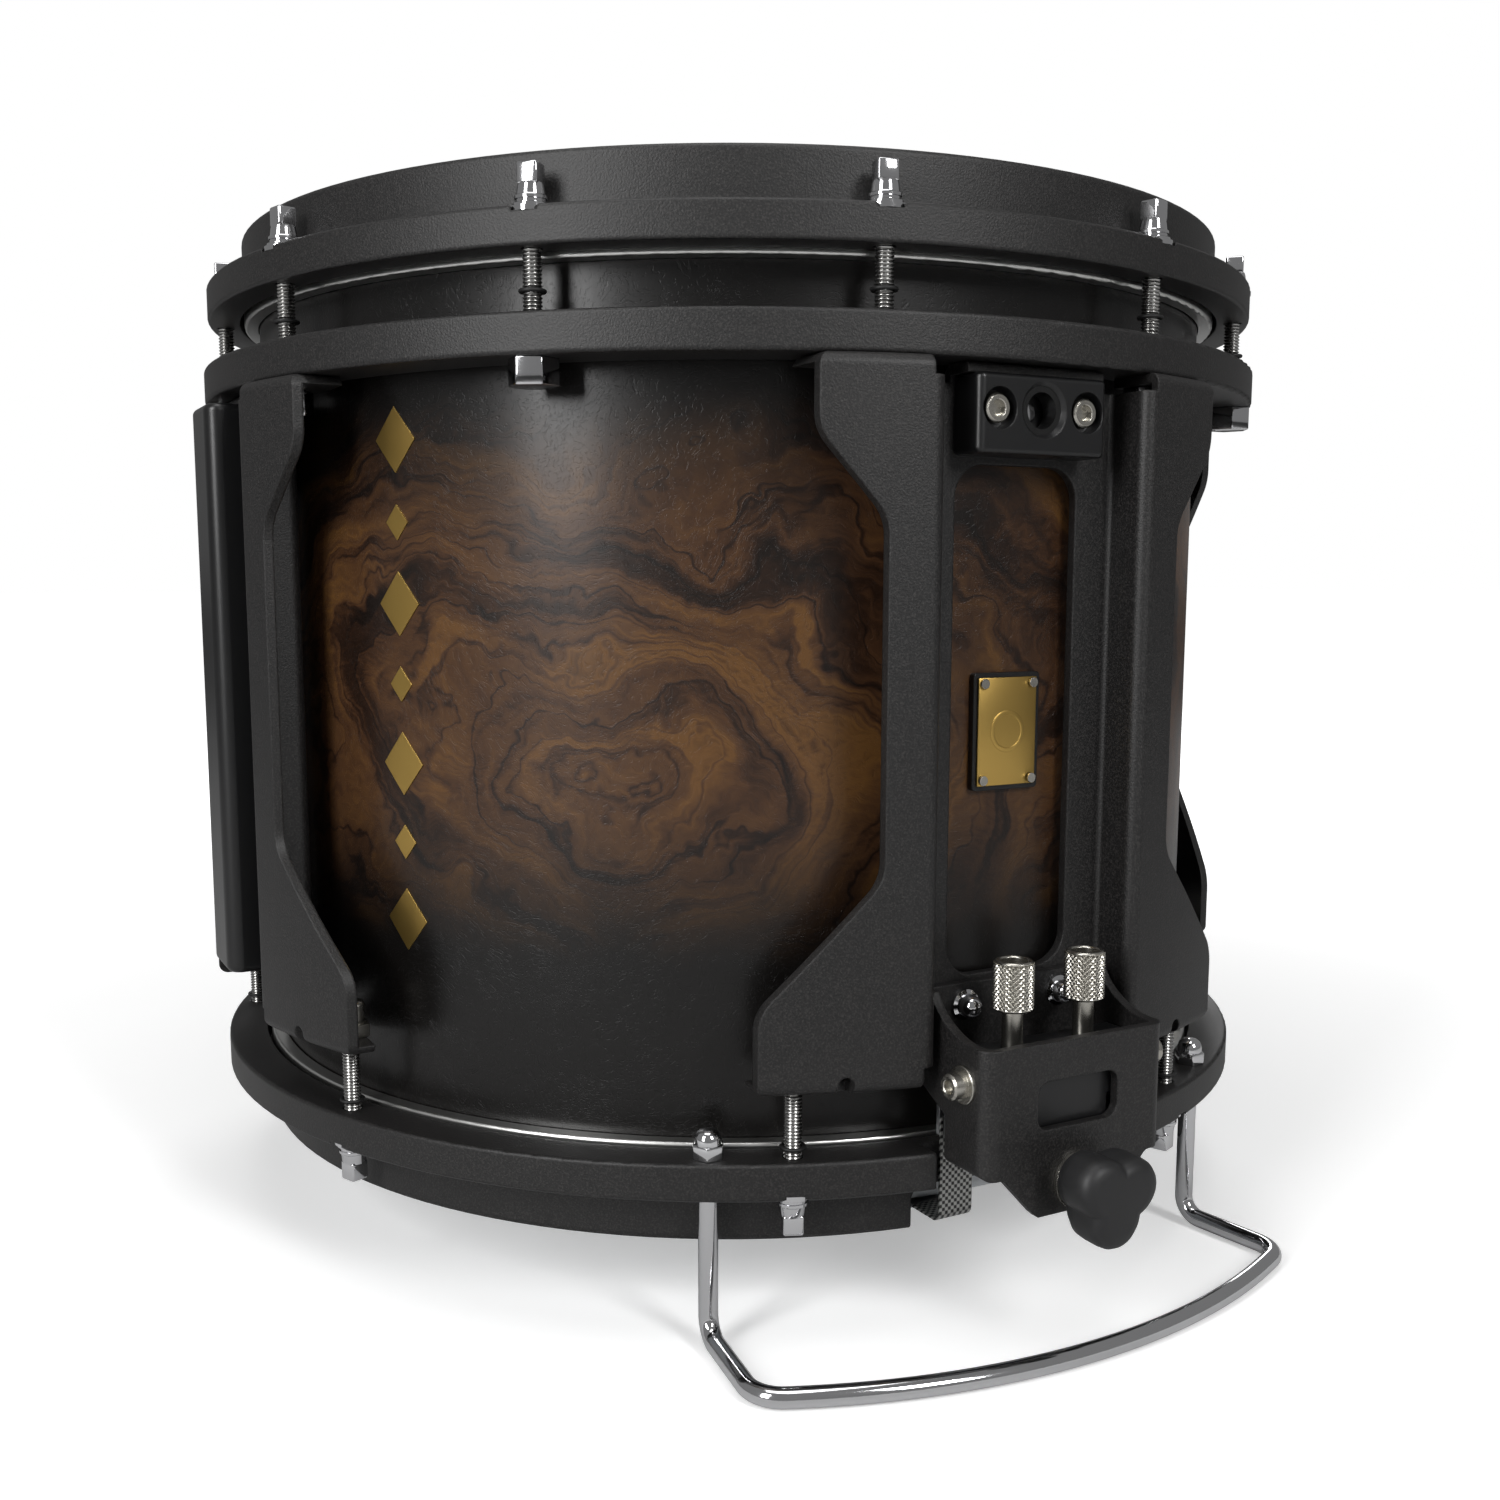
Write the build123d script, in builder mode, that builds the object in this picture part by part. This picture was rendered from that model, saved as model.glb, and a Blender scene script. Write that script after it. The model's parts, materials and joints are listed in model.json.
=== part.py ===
"""Marching snare drum: free-floating wooden shell in a metal chassis with a snare release.

Millimetres, +Z up.  The origin is the centre of the batter head's playing surface.  The
release mechanism faces -Y, and angles round the drum are counted from -Y towards +X.
"""
from build123d import *
import math
import os

os.makedirs("parts", exist_ok=True)

# ---- shell and heads -------------------------------------------------------------------
SHELL_OD = 355.6
SHELL_LENGTH = 304.8
SHELL_WALL = 7.2
EDGE_ROUND = 3.6
EDGE_BEVEL = 3.2
FILM = 0.5
COLLAR_GAP = 0.3
FLESH_GAP = 0.5
FLESH_WALL = 4.7
FLESH_DEPTH = 10.1

SHELL_R = SHELL_OD / 2
HALF = SHELL_LENGTH / 2
MID = -(HALF + FILM)

# ---- counter hoops ---------------------------------------------------------------------
RIM_RISE = 7.1
RIM_GAP = 1.0
RIM_WALL = 3.7
SNARE_RIM_WALL = 3.3
HOOP_DROP = 10.5
SHOULDER_DROP = 12.9
FLANGE_T = 10.9
POCKET_GAP = 1.6
BATTER_FLANGE = 17.8
SNARE_FLANGE = 20.5
SNARE_FLANGE_T = 11.4
FLANGE_ROUND = 3.0
SNARE_ROUND = 1.2
EDGE_BREAK = 0.7

FLESH_IN = SHELL_R + FLESH_GAP
FLESH_OUT = FLESH_IN + FLESH_WALL
RIM_IN = FLESH_IN + RIM_GAP
RIM_OUT = RIM_IN + RIM_WALL
SNARE_RIM_OUT = RIM_IN + SNARE_RIM_WALL
POCKET_R = FLESH_OUT + POCKET_GAP
FLANGE_OUT = SHELL_R + BATTER_FLANGE
SNARE_FLANGE_OUT = SHELL_R + SNARE_FLANGE
Z_RIM = HALF + RIM_RISE
Z_FLANGE = HALF - HOOP_DROP
Z_SHOULDER = HALF - SHOULDER_DROP
Z_FLANGE_LOW = Z_FLANGE - FLANGE_T
Z_SNARE_FACE = -(HALF - 11.4)
Z_SNARE_TOP = Z_SNARE_FACE + SNARE_FLANGE_T

# ---- tension rods ----------------------------------------------------------------------
ROD_D = 5.56
TOP_RODS = 12
BOTTOM_RODS = 8
TOP_ROD_OUT = 12.1
BOTTOM_ROD_OUT = 13.6
HEAD_SQUARE = 6.2
HEAD_HEIGHT = 5.6
NECK_D = 8.0
NECK_HEIGHT = 4.1
COLLAR_D = 10.4
COLLAR_HEIGHT = 2.5
WASHER_D = 12.0
WASHER_T = 1.5
SPOT_CLEAR = 0.75
SNARE_SPOT_CLEAR = 1.4
ROD_HOLE_CLEAR = 0.42
THREAD_CLEAR = 0.05
NUT_AF = 13.0
FOOT_NUT_AF = 11.5
NUT_HEIGHT = 8.0
NUT_TURN = -19.0
ROD_SHORT = 4.2
O_RING = 1.2

ROD_R = ROD_D / 2
ROD_HOLE = ROD_R + ROD_HOLE_CLEAR
NUT_BORE = ROD_R + THREAD_CLEAR
TOP_ROD_R = SHELL_R + TOP_ROD_OUT
BOTTOM_ROD_R = SHELL_R + BOTTOM_ROD_OUT
TOP_ANGLES = [360 / TOP_RODS * (i + 0.5) for i in range(TOP_RODS)]
BOTTOM_ANGLES = [360 / BOTTOM_RODS * (i + 0.5) for i in range(BOTTOM_RODS)]

# ---- top ring --------------------------------------------------------------------------
RING_GAP = 1.2
RING_WIDTH = 18.6
RING_T = 11.9
RING_DROP = 39.2

RING_IN = SHELL_R + RING_GAP
RING_OUT = RING_IN + RING_WIDTH
Z_RING = HALF - RING_DROP
Z_RING_LOW = Z_RING - RING_T

# ---- uprights: folded channels ---------------------------------------------------------
SHEET = 3.0
BASE_GAP = 1.4
CHANNEL_HALF = 36.2
WING_OUT = 23.5
BEND_OUT = 3.5
HEAD_HALF = 72.4
WAIST_HALF = 53.3
FOOT_HALF = 87.6
HEAD_DEPTH = 21.3
HEAD_TAPER = 23.5
FOOT_DEPTH = 24.6
FOOT_TAPER = 38.0
FOOT_GAP = 21.0
RELIEF_HALF = 40.8
RELIEF_DEPTH = 5.6
WINDOW_HALF = 22.8
WINDOW_FROM_TOP = 28.3
WINDOW_FROM_FOOT = 28.1
WINDOW_CORNER = 10.0
LIP_HALF = 24.9
LIP_REACH = 8.4
NOTCH_HALF = 2.35
NOTCH_DEPTH = 5.5
NOTCH_ANGLE = 18.4
TAB_GAP = 4.4

BASE_IN = SHELL_R + BASE_GAP
BASE_OUT = BASE_IN + SHEET
WING_R = SHELL_R + WING_OUT
TAB_IN = SHELL_R + TAB_GAP
Z_HEAD = Z_RING_LOW
Z_TAB_LOW = Z_HEAD - SHEET
Z_FOOT = Z_SNARE_TOP + FOOT_GAP
Z_WINDOW_TOP = Z_HEAD - WINDOW_FROM_TOP
Z_WINDOW_LOW = Z_FOOT + WINDOW_FROM_FOOT
Z_LIP = Z_HEAD - 0.3

# ---- carrier block and recess covers ---------------------------------------------------
BLOCK_HALF = 23.6
BLOCK_DEPTH = 11.9
BLOCK_HEIGHT = 22.8
BLOCK_SCREW_X = 16.0
BLOCK_SCREW_DOWN = 9.9
COUNTERBORE_D = 12.0
COUNTERBORE_DEPTH = 5.6
M5_D = 5.0
M5_HEAD_D = 8.6
M5_HEAD_H = 5.0
M5_KEY = 4.0
BUSH_OD = 14.0
BUSH_ID = 10.5
BUSH_DEPTH = 8.4
BUTTON_D = 6.0
BUTTON_RISE = 1.2
COVER_HALF = 14.5
COVER_DEPTH = 20.9
COVER_WALL = 2.5
COVER_CORNER = 5.0
COVER_FOOT = 12.6
COVER_SCREW_D = 4.0
COVER_SCREW_IN = 8.0

Z_BLOCK = Z_LIP - SHEET
Z_BLOCK_LOW = Z_BLOCK - BLOCK_HEIGHT
BLOCK_FRONT = BASE_OUT + BLOCK_DEPTH
Z_BLOCK_SCREW = Z_BLOCK - BLOCK_SCREW_DOWN
M5_HOLE = M5_D / 2 + THREAD_CLEAR
Z_COVER = Z_BLOCK - 0.4
Z_COVER_LOW = Z_FOOT + COVER_FOOT
COVER_FRONT = BASE_OUT + COVER_DEPTH

# ---- badge and inlay -------------------------------------------------------------------
BADGE_W = 24.8
BADGE_H = 35.9
BADGE_MID = -6.5
BADGE_BACK_T = 2.2
BADGE_T = 1.0
BADGE_INSET = 1.4
BADGE_SCREW_D = 3.0
BADGE_SCREW_IN = 3.2
INLAY_T = 0.35
INLAY_HALF_W = 8.5
INLAY_COUNT = 7
INLAY_PITCH = 25.0
INLAY_MID = 7.0
INLAY_ANGLES = (-63.3, 26.7, 116.7, 206.7)

# ---- leg rest --------------------------------------------------------------------------
LEG_D = 6.0
LEG_ANGLE = 30.0
LEG_DROP = 44.0
LEG_CORNER_X = 101.0
LEG_REACH = 29.7
LEG_BEND = 7.0
LEG_CORNER = 11.0
LEG_NUT_D = 9.0
LEG_NUT_H = 9.0

LEG_R = LEG_D / 2
LEG_ARC = SNARE_FLANGE_OUT + LEG_REACH
Z_LEG = Z_SNARE_FACE - LEG_DROP

# ---- snare release ---------------------------------------------------------------------
BR_HALF = 33.8
BR_DEPTH = 35.2
BR_WALL = 3.0
BR_CORNER = 5.0
BR_TOP_IN = 26.6
BR_FRONT_IN = 15.4
BR_FOOT = 23.2
BR_TONGUE = 36.8
BR_TONGUE_HALF = 16.0
BR_SHOULDER_HALF = 27.0
BR_REAR_DEPTH = 15.8
BR_WINDOW_HALF = 15.0
BR_SCREW_X = 18.0
BR_SCREW_UP = 20.1
SIDE_BOLT_OUT = 24.8
SIDE_BOLT_UP = 3.6
SIDE_WASHER_D = 11.4
SIDE_WASHER_T = 1.2
SIDE_HEAD_D = 7.8
SIDE_HEAD_H = 4.6
ADJ_X = 13.5
ADJ_OUT = 20.8
KNURL_D = 12.4
KNURL_H = 15.1
KNURL_UP = 22.1
ADJ_BORE_D = 8.4
ADJ_SHAFT_D = 6.4
ADJ_THREAD_D = 5.0
RUN = 0.05
CARRIAGE_GAP = 1.4
CARRIAGE_UP = 10.6
CARRIAGE_H = 15.0
CARRIAGE_BACK = 13.8
SKIRT_T = 2.2
SKIRT_HALF = 14.0
RELEASE_DROP = 4.0
CAM_DOWN = 27.4
CAM_R = 6.5
CAM_THROW = RELEASE_DROP / 2
SPINDLE_D = 8.0
KNOB_D = 30.4
KNOB_DEPTH = 19.0
KNOB_NECK = 3.0
KNOB_TURN = 23.4
LOBE_R = 8.2
KNOB_WASHER_D = 17.2
KNOB_WASHER_T = 1.5
TRAVEL = 1.0
STRAP_W = 12.0
STRAP_IN = 17.5
STRAP_T = 0.8
STRAP_OUT = 12.2
STRAP_RISE = 33.0

BR_FRONT = BASE_OUT + BR_DEPTH
BR_INSIDE = BR_FRONT - BR_WALL
Z_BR_TOP = Z_FOOT + BR_TOP_IN
Z_BR_FRONT = Z_FOOT + BR_FRONT_IN
Z_BR_LOW = Z_FOOT - BR_FOOT
Z_TONGUE = Z_FOOT - BR_TONGUE
Z_CAM = Z_FOOT - CAM_DOWN
Z_SIDE_BOLT = Z_FOOT + SIDE_BOLT_UP
SIDE_BOLT_Y = BASE_OUT + SIDE_BOLT_OUT
ADJ_Y = BASE_OUT + ADJ_OUT
Z_CARRIAGE = Z_FOOT + CARRIAGE_UP
CARRIAGE_FRONT = BR_INSIDE - 0.6
CARRIAGE_REAR = BASE_OUT + CARRIAGE_BACK
CARRIAGE_HALF = BR_HALF - BR_WALL - CARRIAGE_GAP
Z_TRAVELLER = Z_CARRIAGE - CARRIAGE_H - 3.0
TRAVELLER_H = 11.0
TRAVELLER_IN = 3.0
TRAVELLER_HALF = 29.0
STRAP_Y = SHELL_R + STRAP_OUT

# ---- gates in the snare hoop -----------------------------------------------------------
GATE_HALF = 34.4
RIM_GATE_HALF = 32.5
GATE_NECK = 8.7
GATE_ROUND = 5.0
Z_GATE = Z_SNARE_FACE - 4.5

# ---- snares ----------------------------------------------------------------------------
WIRE_D = 1.3
WIRE_GAP = 0.35
WIRES = 6
WIRE_PITCH = 2.1
WIRE_HALF = 168.0
PLATE_L = 8.0
PLATE_T = 1.2
Z_WIRE = -HALF - FILM - WIRE_GAP - WIRE_D / 2


def level(z):
    """Horizontal plane at a height counted from the middle of the shell."""
    return Plane.XY.offset(MID + z)


FRONT = Plane(origin=(0, 0, MID), x_dir=(1, 0, 0), z_dir=(0, -1, 0))
SIDE = Plane(origin=(0, 0, MID), x_dir=(0, -1, 0), z_dir=(-1, 0, 0))


def save(part, name):
    """Label a finished piece and write it under its own name."""
    part.label = name
    export_step(part, "parts/" + name + ".step")


def corner(sketch, x, y):
    """The corner of a sketch that lies nearest to a point."""
    return sketch.vertices().sort_by_distance((x, y, 0))[0]


def around(piece, radius, angles):
    """Copies of a piece on a circle, each turned to face outwards."""
    return [Rot(0, 0, a) * Pos(0, -radius, 0) * piece for a in angles]


def lathe(points, rounds=(), bevels=()):
    """Turn a section given by radius and height round the drum's axis."""
    with BuildSketch(FRONT) as section:
        with BuildLine():
            Polyline(*points, close=True)
        make_face()
        for x, y, r in rounds:
            fillet(corner(section, x, y), r)
        for x, y, r in bevels:
            chamfer(corner(section, x, y), r)
    revolve(section.sketch, axis=Axis.Z)


def drill(radius, z, depth, circle, angles):
    """Holes on a circle, cut upwards from a height."""
    with BuildSketch(level(z)) as holes:
        for a in angles:
            with Locations((circle * math.sin(math.radians(a)), -circle * math.cos(math.radians(a)))):
                Circle(radius)
    extrude(holes.sketch, amount=depth, mode=Mode.SUBTRACT)


def pins(points, radius, inner, outer, mode=Mode.ADD):
    """Round bars or holes along the front's outward direction, at x and height."""
    with BuildSketch(FRONT.offset(inner)) as bars:
        with Locations(*points):
            Circle(radius)
    extrude(bars.sketch, amount=outer - inner, mode=mode)


# ---- shell -----------------------------------------------------------------------------
with BuildPart() as shell:
    with BuildSketch(FRONT) as shell_section:
        with BuildLine():
            Polyline((SHELL_R - SHELL_WALL, -HALF), (SHELL_R, -HALF), (SHELL_R, HALF),
                     (SHELL_R - SHELL_WALL, HALF), close=True)
        make_face()
        fillet(shell_section.vertices().group_by(Axis.X)[-1], EDGE_ROUND)
        chamfer(shell_section.vertices().group_by(Axis.X)[0], EDGE_BEVEL)
    revolve(axis=Axis.Z)
save(shell.part, "shell")


# ---- heads -----------------------------------------------------------------------------
def head(side, shoulder):
    """Stretched film with its collar; side is 1 on top and -1 below."""
    film_in = SHELL_R + COLLAR_GAP
    film_out = film_in + FILM
    inner = side * HALF
    outer = side * (HALF + FILM)
    lathe([(0, inner), (film_in, inner), (film_in, shoulder), (film_out, shoulder),
           (film_out, outer), (0, outer)],
          [(film_in, inner, EDGE_ROUND + COLLAR_GAP), (film_out, outer, EDGE_ROUND + COLLAR_GAP + FILM)])


with BuildPart() as batter_head:
    head(1, Z_SHOULDER)
save(batter_head.part, "batter_head")

Z_SNARE_SHOULDER = -Z_SHOULDER + 0.3
with BuildPart() as snare_head:
    head(-1, Z_SNARE_SHOULDER)
save(snare_head.part, "snare_head")

with BuildPart() as batter_flesh_hoop:
    lathe([(FLESH_IN, Z_SHOULDER), (FLESH_OUT, Z_SHOULDER), (FLESH_OUT, Z_SHOULDER - FLESH_DEPTH),
           (FLESH_IN, Z_SHOULDER - FLESH_DEPTH)], [(FLESH_OUT, Z_SHOULDER - FLESH_DEPTH, 1.0)])
save(batter_flesh_hoop.part, "batter_flesh_hoop")

with BuildPart() as snare_flesh_hoop:
    lathe([(FLESH_IN, Z_SNARE_SHOULDER), (FLESH_OUT, Z_SNARE_SHOULDER),
           (FLESH_OUT, Z_SNARE_SHOULDER + FLESH_DEPTH + 0.6), (FLESH_IN, Z_SNARE_SHOULDER + FLESH_DEPTH + 0.6)],
          [(FLESH_OUT, Z_SNARE_SHOULDER + FLESH_DEPTH + 0.6, 1.0)])
save(snare_flesh_hoop.part, "snare_flesh_hoop")

# ---- counter hoops ---------------------------------------------------------------------
SPOT_R = WASHER_D / 2 + SPOT_CLEAR
SNARE_SPOT_R = WASHER_D / 2 + SNARE_SPOT_CLEAR
with BuildPart() as batter_hoop:
    lathe([(RIM_IN, Z_SHOULDER), (RIM_IN, Z_RIM), (RIM_OUT, Z_RIM), (RIM_OUT, Z_FLANGE),
           (FLANGE_OUT, Z_FLANGE), (FLANGE_OUT, Z_FLANGE_LOW), (POCKET_R, Z_FLANGE_LOW), (POCKET_R, Z_SHOULDER)],
          [(RIM_IN, Z_RIM, 1.2), (RIM_OUT, Z_RIM, 1.6), (RIM_OUT, Z_FLANGE, FLANGE_ROUND),
           (FLANGE_OUT, Z_FLANGE_LOW, 1.0)], [(FLANGE_OUT, Z_FLANGE, EDGE_BREAK)])
    drill(ROD_HOLE, Z_FLANGE_LOW - 1, FLANGE_T + 2, TOP_ROD_R, TOP_ANGLES)
    drill(SPOT_R, Z_FLANGE - WASHER_T, WASHER_T + 1, TOP_ROD_R, TOP_ANGLES)
save(batter_hoop.part, "batter_hoop")

with BuildPart() as snare_hoop:
    lathe([(RIM_IN, Z_SNARE_SHOULDER), (RIM_IN, -Z_RIM), (SNARE_RIM_OUT, -Z_RIM), (SNARE_RIM_OUT, Z_SNARE_FACE),
           (SNARE_FLANGE_OUT, Z_SNARE_FACE), (SNARE_FLANGE_OUT, Z_SNARE_TOP), (POCKET_R, Z_SNARE_TOP),
           (POCKET_R, Z_SNARE_SHOULDER)],
          [(RIM_IN, -Z_RIM, 1.2), (SNARE_RIM_OUT, -Z_RIM, 1.6), (SNARE_RIM_OUT, Z_SNARE_FACE, SNARE_ROUND),
           (SNARE_FLANGE_OUT, Z_SNARE_TOP, 1.0)], [(SNARE_FLANGE_OUT, Z_SNARE_FACE, EDGE_BREAK)])
    drill(ROD_HOLE, Z_SNARE_FACE - 1, SNARE_FLANGE_T + 2, BOTTOM_ROD_R, BOTTOM_ANGLES)
    drill(SNARE_SPOT_R, Z_SNARE_FACE - 1, WASHER_T + 1, BOTTOM_ROD_R, BOTTOM_ANGLES)
    drill(LEG_R + 0.3, Z_SNARE_FACE - 1, SNARE_FLANGE_T + 2, BOTTOM_ROD_R, (-LEG_ANGLE, LEG_ANGLE))
    for side in (-1, 1):
        with BuildSketch(level(Z_SNARE_FACE - 5)):
            with Locations((0, side * (SHELL_R + GATE_NECK + 20))):
                Rectangle(2 * GATE_HALF, 40)
        extrude(amount=SNARE_FLANGE_T + 10, mode=Mode.SUBTRACT)
    with BuildSketch(FRONT.offset(-SHELL_R - 30)):
        with Locations((0, Z_GATE - 15)):
            RectangleRounded(2 * RIM_GATE_HALF, 30, GATE_ROUND)
    extrude(amount=2 * SHELL_R + 60, mode=Mode.SUBTRACT)
save(snare_hoop.part, "snare_hoop")

# ---- top ring --------------------------------------------------------------------------
with BuildPart() as top_ring:
    lathe([(RING_IN, Z_RING), (RING_OUT, Z_RING), (RING_OUT, Z_RING_LOW), (RING_IN, Z_RING_LOW)],
          [(RING_OUT, Z_RING, 1.2), (RING_OUT, Z_RING_LOW, 1.2)])
    drill(ROD_HOLE, Z_RING_LOW - 1, RING_T + 2, TOP_ROD_R, TOP_ANGLES)
save(top_ring.part, "top_ring")


# ---- uprights --------------------------------------------------------------------------
def tabs(inner, outer, z):
    """Flat tabs folded in from both wings."""
    for side in (-1, 1):
        with BuildSketch(level(z)) as tab:
            with Locations((side * (inner + outer) / 2, -WING_R)):
                Rectangle(outer - inner, 3 * (WING_R - TAB_IN))
            Circle(WING_R, mode=Mode.INTERSECT)
            Circle(TAB_IN, mode=Mode.SUBTRACT)
        extrude(tab.sketch, amount=SHEET)


def upright(holes):
    """One folded upright in the front position, with screw holes given as x, height and radius."""
    web_half = CHANNEL_HALF + SHEET
    wing_in = WING_R - SHEET
    web_top = math.sqrt(wing_in ** 2 - web_half ** 2) + SHEET / 2
    mouth = math.sqrt(WING_R ** 2 - CHANNEL_HALF ** 2)
    heel = math.sqrt(wing_in ** 2 - web_half ** 2)
    with BuildPart() as body:
        with BuildSketch(level(Z_FOOT)) as section:
            Circle(WING_R)
            Circle(wing_in, mode=Mode.SUBTRACT)
            with Locations((0, -WING_R)):
                Rectangle(2 * FOOT_HALF + 12, 2 * (WING_R - BASE_IN) + 20, mode=Mode.INTERSECT)
            with Locations((0, -(BASE_IN + web_top) / 2)):
                Rectangle(2 * web_half, web_top - BASE_IN)
            with Locations((0, -BASE_OUT - 25)):
                Rectangle(2 * CHANNEL_HALF, 50, mode=Mode.SUBTRACT)
            for side in (-1, 1):
                fillet(corner(section, side * CHANNEL_HALF, -mouth), BEND_OUT)
                fillet(corner(section, side * web_half, -heel), 1.2)
                fillet(corner(section, side * CHANNEL_HALF, -BASE_OUT), 1.5)
                fillet(corner(section, side * web_half, -BASE_IN), BEND_OUT)
        extrude(amount=Z_HEAD - Z_FOOT)
        tabs(RELIEF_HALF, HEAD_HALF, Z_TAB_LOW)
        tabs(RELIEF_HALF, FOOT_HALF, Z_FOOT)
        half = [(FOOT_HALF, Z_FOOT), (FOOT_HALF, Z_FOOT + FOOT_DEPTH), (WAIST_HALF, Z_FOOT + FOOT_DEPTH + FOOT_TAPER),
                (WAIST_HALF, Z_HEAD - HEAD_DEPTH - HEAD_TAPER), (HEAD_HALF, Z_HEAD - HEAD_DEPTH), (HEAD_HALF, Z_HEAD)]
        with BuildSketch(FRONT.offset(SHELL_R - 30)) as outline:
            with BuildLine():
                Polyline(*half, *[(-x, z) for x, z in reversed(half)], close=True)
            make_face()
            for x, z in half[1:5]:
                fillet([corner(outline, x, z), corner(outline, -x, z)], 14.0)
            for x, z in (half[0], half[5]):
                fillet([corner(outline, x, z), corner(outline, -x, z)], 4.0)
        extrude(amount=80, mode=Mode.INTERSECT)
        with BuildSketch(FRONT) as envelope:
            with BuildLine():
                Polyline((0, Z_FOOT), (WING_R, Z_FOOT), (WING_R, Z_HEAD), (0, Z_HEAD), close=True)
            make_face()
            fillet(envelope.vertices().group_by(Axis.X)[-1], BEND_OUT)
        revolve(axis=Axis.Z, mode=Mode.INTERSECT)
        with BuildSketch(level(Z_HEAD - RELIEF_DEPTH)):
            with Locations((0, -BASE_OUT - 25)):
                Rectangle(2 * RELIEF_HALF, 50)
            with Locations((0, -BASE_OUT)):
                Rectangle(2 * RELIEF_HALF, 20)
                Rectangle(2 * LIP_HALF, 20, mode=Mode.SUBTRACT)
        extrude(amount=RELIEF_DEPTH + 1, mode=Mode.SUBTRACT)
        with BuildSketch(level(Z_FOOT - 1)):
            with Locations((0, -BASE_OUT - 25)):
                Rectangle(2 * RELIEF_HALF, 50)
        extrude(amount=RELIEF_DEPTH + 2, mode=Mode.SUBTRACT)
        with BuildSketch(SIDE.offset(-LIP_HALF)) as lip:
            with BuildLine():
                Polyline((BASE_IN, Z_LIP - 3 * SHEET), (BASE_IN, Z_LIP), (BASE_OUT + LIP_REACH, Z_LIP),
                         (BASE_OUT + LIP_REACH, Z_LIP - SHEET), (BASE_OUT, Z_LIP - SHEET),
                         (BASE_OUT, Z_LIP - 3 * SHEET), close=True)
            make_face()
            fillet(corner(lip, BASE_IN, Z_LIP), BEND_OUT)
            fillet(corner(lip, BASE_OUT + LIP_REACH, Z_LIP), 1.2)
        with BuildSketch(level(Z_LIP - 2 * SHEET)):
            with Locations((0, -BASE_OUT)):
                Rectangle(2 * LIP_HALF + 0.2, 20)
        extrude(amount=4 * SHEET, mode=Mode.SUBTRACT)
        add(extrude(lip.sketch, amount=2 * LIP_HALF, mode=Mode.PRIVATE))
        with BuildSketch(FRONT.offset(BASE_IN - 1)):
            with Locations((0, (Z_WINDOW_TOP + Z_WINDOW_LOW) / 2)):
                RectangleRounded(2 * WINDOW_HALF, Z_WINDOW_TOP - Z_WINDOW_LOW, WINDOW_CORNER)
        extrude(amount=SHEET + 2, mode=Mode.SUBTRACT)
        notch_x = WING_R * math.sin(math.radians(NOTCH_ANGLE))
        notch_y = WING_R * math.cos(math.radians(NOTCH_ANGLE))
        with BuildSketch(FRONT.offset(notch_y - SHEET - 2)):
            with Locations((-notch_x, Z_FOOT + (NOTCH_DEPTH - NOTCH_HALF) / 2), (notch_x, Z_FOOT + (NOTCH_DEPTH - NOTCH_HALF) / 2)):
                Rectangle(2 * NOTCH_HALF, NOTCH_DEPTH - NOTCH_HALF)
            with Locations((-notch_x, Z_FOOT + NOTCH_DEPTH - NOTCH_HALF), (notch_x, Z_FOOT + NOTCH_DEPTH - NOTCH_HALF)):
                Circle(NOTCH_HALF)
        extrude(amount=20, mode=Mode.SUBTRACT)
        top_near = [a - 360 if a > 180 else a for a in TOP_ANGLES]
        low_near = [a - 360 if a > 180 else a for a in BOTTOM_ANGLES]
        drill(ROD_HOLE, Z_TAB_LOW - 1, SHEET + 2, TOP_ROD_R, [a for a in top_near if abs(a) < 30])
        drill(ROD_HOLE, Z_FOOT - 1, SHEET + 2, BOTTOM_ROD_R, [a for a in low_near if abs(a) < 30])
        for x, z, r in holes:
            pins([(x, z)], r, BASE_IN - 1, BASE_OUT + 1, Mode.SUBTRACT)
    return body.part


Z_BR_SCREW = Z_FOOT + BR_SCREW_UP
STRAINER_HOLES = [(-BR_SCREW_X, Z_BR_SCREW, M5_HOLE), (BR_SCREW_X, Z_BR_SCREW, M5_HOLE)]
BLOCK_HOLES = [(-BLOCK_SCREW_X, Z_BLOCK_SCREW, M5_HOLE), (BLOCK_SCREW_X, Z_BLOCK_SCREW, M5_HOLE)]
COVER_SCREW_Z = (Z_COVER - COVER_SCREW_IN, Z_COVER_LOW + COVER_SCREW_IN)
COVER_HOLES = [(0, z, COVER_SCREW_D / 2 + THREAD_CLEAR) for z in COVER_SCREW_Z]

with BuildPart() as upright_front:
    add(upright(STRAINER_HOLES + BLOCK_HOLES))
save(upright_front.part, "upright_front")

with BuildPart() as upright_rear:
    add(upright(STRAINER_HOLES), rotation=(0, 0, 180))
save(upright_rear.part, "upright_rear")

side_upright = upright(COVER_HOLES)
with BuildPart() as upright_left:
    add(side_upright, rotation=(0, 0, -90))
save(upright_left.part, "upright_left")

with BuildPart() as upright_right:
    add(side_upright, rotation=(0, 0, 90))
save(upright_right.part, "upright_right")

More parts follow.
